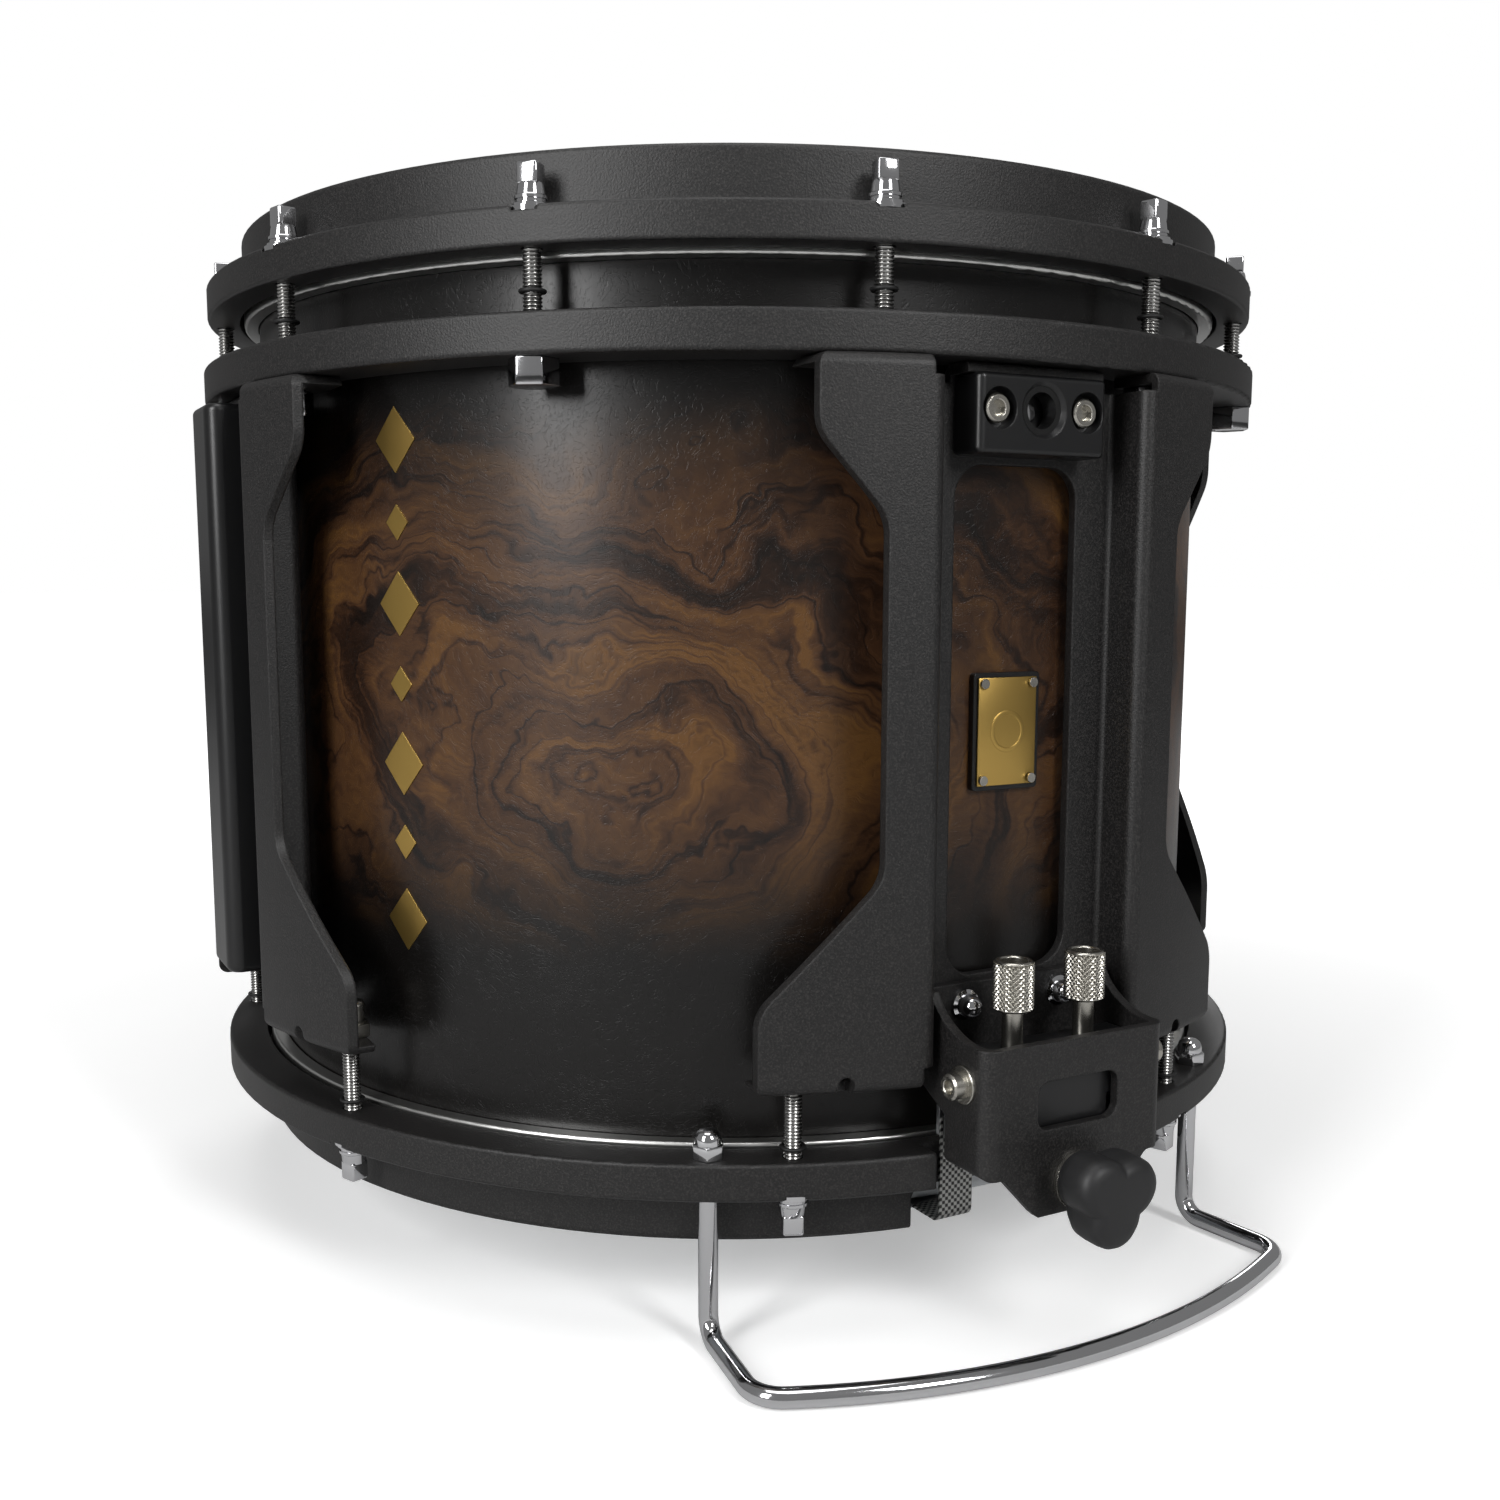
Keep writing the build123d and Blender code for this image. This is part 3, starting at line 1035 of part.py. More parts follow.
with BuildPart() as strap:
    with BuildSketch(SIDE.offset(-STRAP_IN - STRAP_W)) as strap_section:
        with BuildLine():
            Polyline((WIRE_HALF + PLATE_L, Z_WIRE - STRAP_T / 2), (STRAP_Y + STRAP_T / 2, Z_WIRE - STRAP_T / 2),
                     (STRAP_Y + STRAP_T / 2, Z_WIRE + STRAP_RISE), (STRAP_Y - STRAP_T / 2, Z_WIRE + STRAP_RISE),
                     (STRAP_Y - STRAP_T / 2, Z_WIRE + STRAP_T / 2), (WIRE_HALF + PLATE_L, Z_WIRE + STRAP_T / 2),
                     close=True)
        make_face()
        fillet(corner(strap_section, STRAP_Y + STRAP_T / 2, Z_WIRE - STRAP_T / 2), 3.4)
        fillet(corner(strap_section, STRAP_Y - STRAP_T / 2, Z_WIRE + STRAP_T / 2), 2.6)
    extrude(amount=STRAP_W)

with BuildPart() as snare_straps:
    add(strap.part)
    mirror(about=Plane.YZ)
    mirror(about=Plane.XZ)
save(snare_straps.part, "snare_straps")

# ---- butt end at the rear --------------------------------------------------------------
with BuildPart() as butt_bracket:
    with BuildSketch(SIDE.offset(-BR_HALF)) as butt_section:
        with BuildLine():
            Polyline((BASE_OUT, Z_BR_TOP), (BASE_OUT + SHEET, Z_BR_TOP), (BASE_OUT + SHEET, Z_FOOT + SHEET),
                     (BASE_OUT + 18.0, Z_FOOT + SHEET), (BASE_OUT + 18.0, Z_FOOT - 19.5),
                     (BASE_OUT + 15.0, Z_FOOT - 19.5), (BASE_OUT + 15.0, Z_FOOT), (BASE_OUT, Z_FOOT), close=True)
        make_face()
        fillet(corner(butt_section, BASE_OUT + 18.0, Z_FOOT + SHEET), 4.0)
        fillet(corner(butt_section, BASE_OUT + 15.0, Z_FOOT), 1.0)
    extrude(amount=2 * BR_HALF)
    pins([(-BR_SCREW_X, Z_BR_SCREW), (BR_SCREW_X, Z_BR_SCREW)], M5_HOLE, BASE_OUT - 1, BASE_OUT + SHEET + 1,
         Mode.SUBTRACT)
    pins([(0, Z_FOOT - 12)], M5_HOLE, BASE_OUT + 14, BASE_OUT + 19, Mode.SUBTRACT)
butt_bracket_part = Rot(0, 0, 180) * butt_bracket.part
save(butt_bracket_part, "butt_bracket")

with BuildPart() as butt_block:
    with BuildSketch(level(Z_FOOT - 18.5)):
        with Locations((0, -(TRAVELLER_REAR + BASE_OUT + 15.0) / 2)):
            Rectangle(2 * (BR_HALF - 2.8), BASE_OUT + 15.0 - TRAVELLER_REAR)
        for x in STRIPS:
            with Locations((x, -STRAP_Y)):
                Rectangle(STRAP_W + 1.6, STRAP_T + 1.4, mode=Mode.SUBTRACT)
    extrude(amount=13.0)
    pins([(0, Z_FOOT - 12)], M5_HOLE, TRAVELLER_REAR - 1, BASE_OUT + 16, Mode.SUBTRACT)
butt_block_part = Rot(0, 0, 180) * butt_block.part
save(butt_block_part, "butt_block")

with BuildPart() as rear_screw:
    pins([(-BR_SCREW_X, Z_BR_SCREW), (BR_SCREW_X, Z_BR_SCREW)], M5_D / 2, BASE_IN, BASE_OUT + SHEET)
    pins([(-BR_SCREW_X, Z_BR_SCREW), (BR_SCREW_X, Z_BR_SCREW)], 4.75, BASE_OUT + SHEET, BASE_OUT + SHEET + 4.5)
    pins([(0, Z_FOOT - 12)], M5_D / 2, TRAVELLER_REAR + 1, BASE_OUT + 18)
    pins([(0, Z_FOOT - 12)], 4.75, BASE_OUT + 18, BASE_OUT + 22.5)
butt_screws_part = Rot(0, 0, 180) * rear_screw.part
save(butt_screws_part, "butt_screws")

# ---- snares under the batter head ------------------------------------------------------
INNER_HALF = 150.0
INNER_WIRES = 10
Z_INNER = HALF - 0.05 - WIRE_D / 2
with BuildPart() as inner_snares:
    with BuildSketch(Plane.XZ.offset(-INNER_HALF)):
        with Locations((0, MID + Z_INNER)):
            with GridLocations(WIRE_PITCH, 1, INNER_WIRES, 1):
                Circle(WIRE_D / 2)
    extrude(amount=2 * INNER_HALF)
save(inner_snares.part, "inner_snares")

with BuildPart() as inner_snare_brackets:
    for side in (-1, 1):
        with BuildSketch(level(Z_INNER - 16)):
            with Locations((0, side * (INNER_HALF + 20))):
                Rectangle(30, 40)
            Circle(SHELL_R - SHELL_WALL, mode=Mode.INTERSECT)
        extrude(amount=12)
        with BuildSketch(level(Z_INNER - 4)):
            with Locations((0, side * (INNER_HALF + 5))):
                Rectangle(26, 10)
        extrude(amount=4.6)
save(inner_snare_brackets.part, "inner_snare_brackets")
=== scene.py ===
"""Marching snare drum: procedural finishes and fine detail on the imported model."""
import json
import math
import bmesh
import bpy
from mathutils import Matrix, Vector


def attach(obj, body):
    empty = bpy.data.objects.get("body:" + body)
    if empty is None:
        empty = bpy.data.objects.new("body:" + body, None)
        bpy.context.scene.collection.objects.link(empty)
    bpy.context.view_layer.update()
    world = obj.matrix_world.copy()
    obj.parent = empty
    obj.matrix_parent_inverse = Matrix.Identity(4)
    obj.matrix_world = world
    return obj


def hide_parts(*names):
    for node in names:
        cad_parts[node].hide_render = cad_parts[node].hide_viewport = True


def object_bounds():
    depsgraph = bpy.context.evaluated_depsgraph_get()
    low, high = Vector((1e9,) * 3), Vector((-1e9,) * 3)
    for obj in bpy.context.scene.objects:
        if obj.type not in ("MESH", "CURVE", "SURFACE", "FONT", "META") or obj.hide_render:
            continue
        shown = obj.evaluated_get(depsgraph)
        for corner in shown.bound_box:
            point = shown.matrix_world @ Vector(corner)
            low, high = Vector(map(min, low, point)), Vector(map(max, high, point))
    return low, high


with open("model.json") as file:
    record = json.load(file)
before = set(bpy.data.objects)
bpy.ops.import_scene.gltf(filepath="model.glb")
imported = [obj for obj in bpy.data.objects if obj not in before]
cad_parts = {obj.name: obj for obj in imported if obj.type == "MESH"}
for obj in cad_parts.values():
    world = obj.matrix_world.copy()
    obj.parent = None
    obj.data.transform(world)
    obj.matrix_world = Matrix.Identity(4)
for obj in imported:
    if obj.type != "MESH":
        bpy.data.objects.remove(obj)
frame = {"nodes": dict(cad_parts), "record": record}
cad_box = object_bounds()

MM = 0.001
MID = -152.9             # middle of the shell's length, counted from the playing surface

# Sizes below are in mm, and heights are counted from the middle of the shell.
SHELL_R = 177.8
FLANGE = 141.9           # seat of the batter tension rods
SNARE_FACE = -141.0      # seat of the snare tension rods
ROD_R = 2.78
THREAD_PITCH = 1.06
TOP_RODS_R, ROD_END = 189.9, 94.5
LOW_RODS_R, LOW_ROD_END = 191.4, -96.5
TOP_ANGLES = [15 + 30 * i for i in range(12)]
LOW_ANGLES = [22.5 + 45 * i for i in range(8)]
TAB_LOW, RING_LOW = 98.3, 101.3          # undersides that the chassis nuts meet
NUT_H, NUT_AF, NUT_TURN = 8.0, 13.0, -19.0
FOOT_TOP = -105.6        # top of the uprights' feet, under the barrel nuts
FOOT_NUT_AF = 11.5
SNARE_TOP = -129.6       # top of the snare hoop, under the acorn nuts
LEG_ANGLES, ACORN_AF = (-30, 30), 9.0
ADJ_X, ADJ_Y = 13.5, 203.0
KNURL_Z, KNURL_H, KNURL_R = -86.5, 15.1, 6.2
ADJ_SHAFT_R, ADJ_END = 3.2, -127.5
CARRIAGE_Z, CARRIAGE_H = -98.0, 15.0
SCREW_SEAT, SCREW_X, SCREW_Z = 188.5, 16.0, 88.1     # screws of the carrier block
BOLT_SEAT, BOLT_Y, BOLT_Z = 35.0, 207.0, -105.0      # bolts in the bracket's sides
DOME_X, DOME_Y, DOME_Z = 18.0, 185.2, -88.5
CAM_Z, KNOB_BACK, KNOB_TURN = -136.0, 218.95, 23.4
BADGE_HALF_W, BADGE_HALF_H, BADGE_Y, BADGE_Z = 11.0, 16.55, 179.6, -6.5


# ---- meshes ----------------------------------------------------------------------------
def shaped(name, bm, material, body="drum", stands_for=(), smooth=40):
    """Turn a bmesh in millimetres into a piece of the drum that rides on a body."""
    bmesh.ops.remove_doubles(bm, verts=bm.verts, dist=1e-4)
    bmesh.ops.recalc_face_normals(bm, faces=bm.faces)
    mesh = bpy.data.meshes.new(name)
    bm.to_mesh(mesh)
    bm.free()
    mesh.transform(Matrix.Translation((0, 0, MID * MM)) @ Matrix.Scale(MM, 4))
    mesh.materials.append(material)
    mesh.shade_smooth()
    mesh.set_sharp_from_angle(angle=math.radians(smooth))
    obj = bpy.data.objects.new(name, mesh)
    bpy.context.scene.collection.objects.link(obj)
    if stands_for:
        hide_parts(*stands_for)
    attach(obj, body)
    return obj


def turned(bm, profile, steps=24):
    """Spin a profile of (radius, height) points round Z."""
    verts = [bm.verts.new((r, 0, z)) for r, z in profile]
    edges = [bm.edges.new(pair) for pair in zip(verts, verts[1:])]
    bmesh.ops.spin(bm, geom=verts + edges, cent=(0, 0, 0), axis=(0, 0, 1), angle=2 * math.pi,
                   steps=steps, use_merge=True)


def prism(bm, outline, low, high, bevel=0.0, segments=2):
    """Stand an outline up between two heights, with rounded edges."""
    face = bm.faces.new([bm.verts.new((x, y, low)) for x, y in outline])
    up = bmesh.ops.extrude_face_region(bm, geom=[face])["geom"]
    tops = [g for g in up if isinstance(g, bmesh.types.BMVert)]
    bmesh.ops.translate(bm, verts=tops, vec=(0, 0, high - low))
    if bevel:
        made = {v for v in face.verts} | set(tops)
        rims = [e for e in bm.edges if e.verts[0] in made and e.verts[1] in made]
        bmesh.ops.bevel(bm, geom=rims, offset=bevel, segments=segments, profile=0.5,
                        affect="EDGES", material=-1)


def polygon(sides, across, turn=0.0):
    """Corners of a regular polygon given by its width across flats."""
    r = across / 2 / math.cos(math.pi / sides)
    return [(r * math.cos(2 * math.pi * (i + 0.5) / sides + turn),
             r * math.sin(2 * math.pi * (i + 0.5) / sides + turn)) for i in range(sides)]


def repeated(build, places):
    """One bmesh holding a copy of what build draws at every place."""
    one = bmesh.new()
    build(one)
    bmesh.ops.remove_doubles(one, verts=one.verts, dist=1e-4)
    pattern = bpy.data.meshes.new("pattern")
    one.to_mesh(pattern)
    one.free()
    whole = bmesh.new()
    for place in places:
        copy = pattern.copy()
        copy.transform(place)
        whole.from_mesh(copy)
        bpy.data.meshes.remove(copy)
    bpy.data.meshes.remove(pattern)
    return whole


def on_circle(radius, angles, z=0.0):
    """Places on a circle round the drum, each turned to face outwards."""
    out = Matrix.Translation((0, -radius, z))
    return [Matrix.Rotation(math.radians(a), 4, "Z") @ out for a in angles]


def facing(x, y, z, out=(0, -1, 0)):
    """A place whose own Z looks along an outward direction."""
    turn = Vector(out).to_track_quat("Z", "Y").to_matrix().to_4x4()
    return Matrix.Translation((x, y, z)) @ turn


def thread(low, high, radius=ROD_R, pitch=THREAD_PITCH, depth=0.5):
    """Profile of a rod's thread as a stack of ridges."""
    count = int((high - low) / pitch)
    points = []
    for i in range(count):
        z = low + (high - low) * i / count
        points += [(radius - depth, z), (radius, z + 0.42 * pitch), (radius, z + 0.58 * pitch)]
    return points + [(radius - depth, high)]


# ---- shader helpers --------------------------------------------------------------------
def srgb(code):
    """Linear colour of an sRGB hex code."""
    parts = [int(code[i:i + 2], 16) / 255 for i in (1, 3, 5)]
    linear = [c / 12.92 if c <= 0.04045 else ((c + 0.055) / 1.055) ** 2.4 for c in parts]
    return (*linear, 1.0)


def add(tree, kind, inputs=None, **settings):
    """Add a shader node; inputs are values or sockets to link from."""
    node = tree.nodes.new("ShaderNode" + kind)
    for key, value in settings.items():
        setattr(node, key, value)
    for key, value in (inputs or {}).items():
        if isinstance(value, bpy.types.NodeSocket):
            tree.links.new(value, node.inputs[key])
        else:
            node.inputs[key].default_value = value
    return node


def maths(tree, operation, *values):
    """One arithmetic step on values or sockets."""
    return add(tree, "Math", dict(enumerate(values)), operation=operation).outputs[0]


def ramp(tree, factor, stops):
    """A colour ramp given as (position, hex colour) pairs."""
    node = add(tree, "ValToRGB", {"Fac": factor})
    marks = node.color_ramp.elements
    while len(marks) < len(stops):
        marks.new(0.5)
    for mark, (position, code) in zip(marks, stops):
        mark.position = position
        mark.color = srgb(code)
    return node.outputs["Color"]


def material(name):
    """A material with its surface node; returns the material, its tree and the surface."""
    mat = bpy.data.materials.new(name)
    mat.use_nodes = True
    return mat, mat.node_tree, mat.node_tree.nodes["Principled BSDF"]


def position(tree):
    """The piece's own coordinates in metres."""
    return add(tree, "TexCoord").outputs["Object"]


def noise(tree, vector, size, detail=2.0, roughness=0.5, output="Fac"):
    """Noise whose features measure about size metres."""
    return add(tree, "TexNoise", {"Vector": vector, "Scale": 1 / size, "Detail": detail,
                                  "Roughness": roughness}).outputs[output]


def bump(tree, height, distance, normal=None, strength=1.0):
    """Relief of a real depth in metres."""
    inputs = {"Height": height, "Distance": distance, "Strength": strength}
    if normal is not None:
        inputs["Normal"] = normal
    return add(tree, "Bump", inputs).outputs[0]


def plain(name, code, roughness, metal=0.0, grain=None, depth=0.0, soft_edge=0.0, wear=0.04):
    """A one-colour finish with optional fine grain and softened edges."""
    mat, tree, surface = material(name)
    surface.inputs["Base Color"].default_value = srgb(code)
    surface.inputs["Metallic"].default_value = metal
    where = position(tree)
    haze = noise(tree, where, 0.02, 3.0)
    surface_rough = maths(tree, "ADD", roughness - wear / 2,
                          maths(tree, "MULTIPLY", haze, wear))
    tree.links.new(surface_rough, surface.inputs["Roughness"])
    normal = None
    if soft_edge:
        normal = add(tree, "Bevel", {"Radius": soft_edge}, samples=4).outputs[0]
    if grain:
        normal = bump(tree, noise(tree, where, grain, 2.0), depth, normal)
    if normal is not None:
        tree.links.new(normal, surface.inputs["Normal"])
    return mat


def powder_coat():
    """Fine-textured black powder coat, sprayed and baked."""
    # It melts into a close, pebbled skin: dark grey rather than black, with broad dull
    # highlights, a painted sparkle on the high points of the grit and edges that look soft. The
    # grit is really about
    # 0.2 mm and is drawn at 0.6 mm so that it shows.
    mat, tree, surface = material("powder_coat_black")
    where = position(tree)
    grit_and_sparkle = noise(tree, where, 0.0006, 1.0, 0.6)
    # The ramp paints the high points of the grit lighter: a painted sparkle over the dark grey
    # coat.
    tree.links.new(ramp(tree, grit_and_sparkle, [(0.35, "#0c0b0b"), (0.5, "#141313"), (0.72, "#2b2928")]),
                   surface.inputs["Base Color"])
    patchy = maths(tree, "MULTIPLY_ADD", noise(tree, where, 0.05, 2.0), 0.06, 0.4)
    tree.links.new(maths(tree, "MULTIPLY_ADD", grit_and_sparkle, 0.12, patchy), surface.inputs["Roughness"])
    edge = add(tree, "Bevel", {"Radius": 0.0009}, samples=4).outputs[0]
    tree.links.new(bump(tree, grit_and_sparkle, 0.0001, edge), surface.inputs["Normal"])
    return mat


# Satin black paint on aluminium, sprayed smooth: a soft sheen and no grain.
satin = plain("satin_black_paint", "#121213", 0.33, soft_edge=0.0006)
# Chrome plate on polished steel: a clear mirror with hard black and white edges.
chrome = plain("chrome_plate", "#d8d8da", 0.09, metal=1.0, wear=0.03)
# Turned stainless steel: warmer and duller than chrome, with blurred reflections.
stainless = plain("stainless_steel", "#b9b6ae", 0.27, metal=1.0, soft_edge=0.0002)
# Bright zinc plate on plain steel: bluish grey and hazy.
zinc = plain("zinc_plated_steel", "#8e8f92", 0.38, metal=1.0, soft_edge=0.0003)
# Rolled thread under a thin plate: each ridge carries one bright line.
thread_steel = plain("threaded_rod_steel", "#a9a8a6", 0.24, metal=1.0)
# Gold-anodised aluminium, brushed dull before it: a wide, warm highlight.
gold = plain("satin_gold", "#c7a55c", 0.34, metal=1.0, soft_edge=0.0002)
# Nitrile rubber rings: black with hardly any highlight.
rubber = plain("black_rubber", "#0e0e0e", 0.55)
# Acetal bush, turned: black with a narrow, soft highlight.
bush = plain("black_bush", "#0c0c0c", 0.35)
# Glass-filled nylon, moulded: dark grey with a spark-eroded grain of about 1.2 mm.
knob_black = plain("moulded_black_nylon", "#1b1b1c", 0.5, grain=0.0012, depth=0.000015)


def turned_aluminium():
    """Aluminium hoop, finished on the lathe."""
    # Close lines run round the drum and draw each highlight out across them; they are
    # cut about 0.1 mm apart and are drawn at 1.1 mm so that they show.
    mat, tree, surface = material("turned_aluminium")
    surface.inputs["Base Color"].default_value = srgb("#d6d6d4")
    surface.inputs["Metallic"].default_value = 1.0
    surface.inputs["Roughness"].default_value = 0.3
    where = add(tree, "Mapping", {"Vector": position(tree), "Scale": (4, 4, 900)}).outputs[0]
    lines = noise(tree, where, 1.0, 2.0)
    tree.links.new(bump(tree, lines, 0.00001), surface.inputs["Normal"])
    return mat


def woven(name, painted_highlight, painted_shade, pitch, roughness, metal=0.0):
    """Plain weave drawn with threads of a real pitch, with a painted highlight on the raised
    threads and a painted shade between them.
    """
    mat, tree, surface = material(name)
    split = add(tree, "SeparateXYZ", {"Vector": position(tree)})
    x = maths(tree, "SINE", maths(tree, "MULTIPLY", split.outputs[0], math.pi / pitch))
    down = maths(tree, "ADD", split.outputs[1], split.outputs[2])
    y = maths(tree, "SINE", maths(tree, "MULTIPLY", down, math.pi / pitch))
    over = maths(tree, "MULTIPLY_ADD", maths(tree, "MULTIPLY", x, y), 0.5, 0.5)
    # The raised threads are painted lighter and the dips between them darker: painted highlight
    # and painted shade.
    tree.links.new(ramp(tree, over, [(0.3, painted_shade), (0.7, painted_highlight)]), surface.inputs["Base Color"])
    surface.inputs["Roughness"].default_value = roughness
    surface.inputs["Metallic"].default_value = metal
    tree.links.new(bump(tree, over, pitch * 0.08), surface.inputs["Normal"])
    return mat


def walnut_burl():
    """Walnut burl veneer, sprayed black towards both ends and lacquered satin."""
    # Curling brown figure with dark veins, under a thin film that softens each
    # highlight and leaves the open pores to break it up.
    mat, tree, surface = material("walnut_burl_lacquered")
    split = add(tree, "SeparateXYZ", {"Vector": position(tree)})
    x, y, z = split.outputs
    angle = maths(tree, "ARCTAN2", x, maths(tree, "MULTIPLY", y, -1.0))
    along = maths(tree, "MULTIPLY", angle, SHELL_R * MM)
    up = maths(tree, "SUBTRACT", z, MID * MM)
    flat = add(tree, "CombineXYZ", {0: along, 1: up, 2: 0.0}).outputs[0]

    def vector(operation, *values, output="Vector", **named):
        return add(tree, "VectorMath", {**dict(enumerate(values)), **named},
                   operation=operation).outputs[output]

    # The figure wanders over 110 mm and curls over 28 mm.
    half = (0.5, 0.5, 0.5)
    drift = noise(tree, flat, 0.11, 2.0, 0.5, "Color")
    curl = noise(tree, flat, 0.028, 3.0, 0.55, "Color")
    warp = vector("SCALE", vector("SUBTRACT", drift, half), Scale=0.13)
    knot = vector("SCALE", vector("SUBTRACT", curl, half), Scale=0.035)
    bent = vector("ADD", vector("ADD", flat, warp), knot)

    # Growth rings of about 18 mm close round the eye of the burl, left of the front.
    eye = vector("SUBTRACT", bent, (-0.135, -0.012, 0.0))
    far = vector("LENGTH", vector("MULTIPLY", eye, (0.75, 1.25, 1.0)), output="Value")
    rings = add(tree, "CombineXYZ", {
        0: maths(tree, "MULTIPLY", far, 55.0), 1: maths(tree, "MULTIPLY", along, 5.0),
        2: maths(tree, "MULTIPLY", up, 5.0)}).outputs[0]
    bands = noise(tree, rings, 1.0, 3.0, 0.6)
    line = noise(tree, rings, 0.62, 2.0, 0.5)
    line = maths(tree, "ABSOLUTE", maths(tree, "SUBTRACT", line, 0.5))
    veins = add(tree, "MapRange", {
        "Value": line, "From Max": 0.035, "To Min": 0.09, "To Max": 0.0}).outputs[0]
    fine = add(tree, "Mapping", {"Vector": bent, "Scale": (1.0, 3.2, 1.0)}).outputs[0]
    fibres = noise(tree, fine, 0.006, 4.0, 0.6)
    clouds = noise(tree, bent, 0.05, 2.0)
    tone = maths(tree, "ADD", maths(tree, "MULTIPLY", bands, 0.72),
                 maths(tree, "MULTIPLY", fibres, 0.16))
    tone = maths(tree, "ADD", tone, maths(tree, "MULTIPLY", clouds, 0.16))
    tone = maths(tree, "SUBTRACT", tone, veins)
    wood = ramp(tree, tone, [(0.36, "#130b07"), (0.44, "#26170e"), (0.5, "#3f2919"),
                             (0.56, "#4c331d"), (0.62, "#5e4020"), (0.7, "#332013")])

    # The black is sprayed by hand, so that its edge wavers by about 10 mm.
    waver = maths(tree, "MULTIPLY", maths(tree, "SUBTRACT", clouds, 0.5), 0.02)
    height = maths(tree, "ADD", up, waver)
    top = add(tree, "MapRange", {
        "Value": height, "From Min": 0.045, "From Max": 0.098, "To Min": 1.0, "To Max": 0.0},
        interpolation_type="SMOOTHSTEP").outputs[0]
    low = add(tree, "MapRange", {"Value": height, "From Min": -0.078, "From Max": -0.018},
              interpolation_type="SMOOTHSTEP").outputs[0]
    show = maths(tree, "MULTIPLY", top, low)
    color = add(tree, "Mix", {"Factor": show, 6: srgb("#0b0908"), 7: wood},
                data_type="RGBA").outputs[2]
    tree.links.new(color, surface.inputs["Base Color"])

    # Open pores, really about 0.2 mm across, are drawn at 0.7 mm so that they show.
    grain = add(tree, "Mapping", {"Vector": bent, "Scale": (0.38, 1.0, 1.0)}).outputs[0]
    pores = noise(tree, grain, 0.0007, 2.0, 0.5)
    pits = add(tree, "MapRange", {"Value": pores, "From Min": 0.32, "From Max": 0.44}).outputs[0]
    swell = noise(tree, flat, 0.0035, 2.0)
    relief = maths(tree, "ADD", pits, maths(tree, "MULTIPLY", swell, 0.9))
    tree.links.new(bump(tree, relief, 0.00004), surface.inputs["Normal"])
    surface.inputs["Roughness"].default_value = 0.36
    surface.inputs["Specular IOR Level"].default_value = 0.28
    surface.inputs["Coat Weight"].default_value = 0.22
    surface.inputs["Coat Roughness"].default_value = 0.22
    return mat


# Polyester film, drawn thin and hazy: pale grey with a soft sheen.
film = plain("hazy_polyester_film", "#c9cdd0", 0.3)
# Plain-woven aramid yarn in resin: cream, with a fine check of painted highlight on the raised
# yarns and painted shade between them. The yarns are about 0.5 mm apart and are drawn at 1.1 mm
# so that they show.
aramid = woven("woven_aramid_head", "#e3dcc4", "#c9bf9f", 0.0011, 0.55)
# Braid of steel wire: painted glints on the crossings and painted shade in the gaps between
# them, drawn at 1.1 mm.
braid = woven("braided_steel_strap", "#b5b5b2", "#3a3a3a", 0.0011, 0.35, metal=0.9)

finishes = {
    "powder_black": powder_coat(), "satin_black": satin, "walnut": walnut_burl(),
    "chrome": chrome, "stainless": stainless, "plated_steel": zinc, "black_bush": bush,
    "rubber": rubber, "satin_aluminium": turned_aluminium(), "clear_film": film,
    "gold": gold, "woven_head": aramid, "black_knob": knob_black, "strap": braid,
}
for part in frame["record"]["subparts"]:
    piece = frame["nodes"][part["node"]]
    piece.data.materials.clear()
    piece.data.materials.append(finishes[part["material_slot"]])


# ---- tension rods ----------------------------------------------------------------------
def rod_head(bm, side):
    """Stepped collar and square key head, rising away from the seat at zero."""
    collar = [(0, 0), (5.2, 0), (5.2, 0.9), (4.9, 1.1), (4.3, 1.25), (4.3, 2.0), (4.7, 2.2),
              (4.7, 3.0), (4.2, 3.4), (3.9, 5.6), (3.6, 6.6), (0, 6.6)]
    turned(bm, [(r, side * z) for r, z in collar], 28)
    low, high = sorted((side * 6.0, side * 12.2))
    prism(bm, polygon(4, 6.2), low, high, bevel=0.7, segments=3)


def rod_thread(bm, length, side):
    """Threaded shank running away from the seat."""
    low, high = sorted((-side * length, 0.0))
    turned(bm, [(0, low)] + thread(low, high) + [(0, high)], 20)


for name, radius, angles, seat, tip, side in (
        ("top", TOP_RODS_R, TOP_ANGLES, FLANGE, ROD_END, 1),
        ("bottom", LOW_RODS_R, LOW_ANGLES, SNARE_FACE, LOW_ROD_END, -1)):
    places, rods = on_circle(radius, angles, seat), (name + "_tension_rods",)
    heads = repeated(lambda bm: rod_head(bm, side), places)
    shaped(name + "_rod_heads", heads, chrome, stands_for=rods)
    threads = repeated(lambda bm: rod_thread(bm, abs(seat - tip), side), places)
    shaped(name + "_rod_threads", threads, thread_steel, stands_for=rods,
           smooth=60)


# ---- nuts ------------------------------------------------------------------------------
def hex_nut(bm):
    """Closed hexagon nut with softly broken corners, hanging below zero."""
    prism(bm, polygon(6, NUT_AF, math.radians(NUT_TURN)), -NUT_H, 0, bevel=0.45, segments=3)


# Rods within 20 degrees of an upright's middle pass through its tab, below the ring.
over_tab = [a for a in TOP_ANGLES if abs((a + 45) % 90 - 45) < 20]
free = [a for a in TOP_ANGLES if a not in over_tab]
nut_places = (on_circle(TOP_RODS_R, over_tab, TAB_LOW)
              + on_circle(TOP_RODS_R, free, RING_LOW))
shaped("chassis_nuts", repeated(hex_nut, nut_places), chrome, stands_for=("top_nuts",))


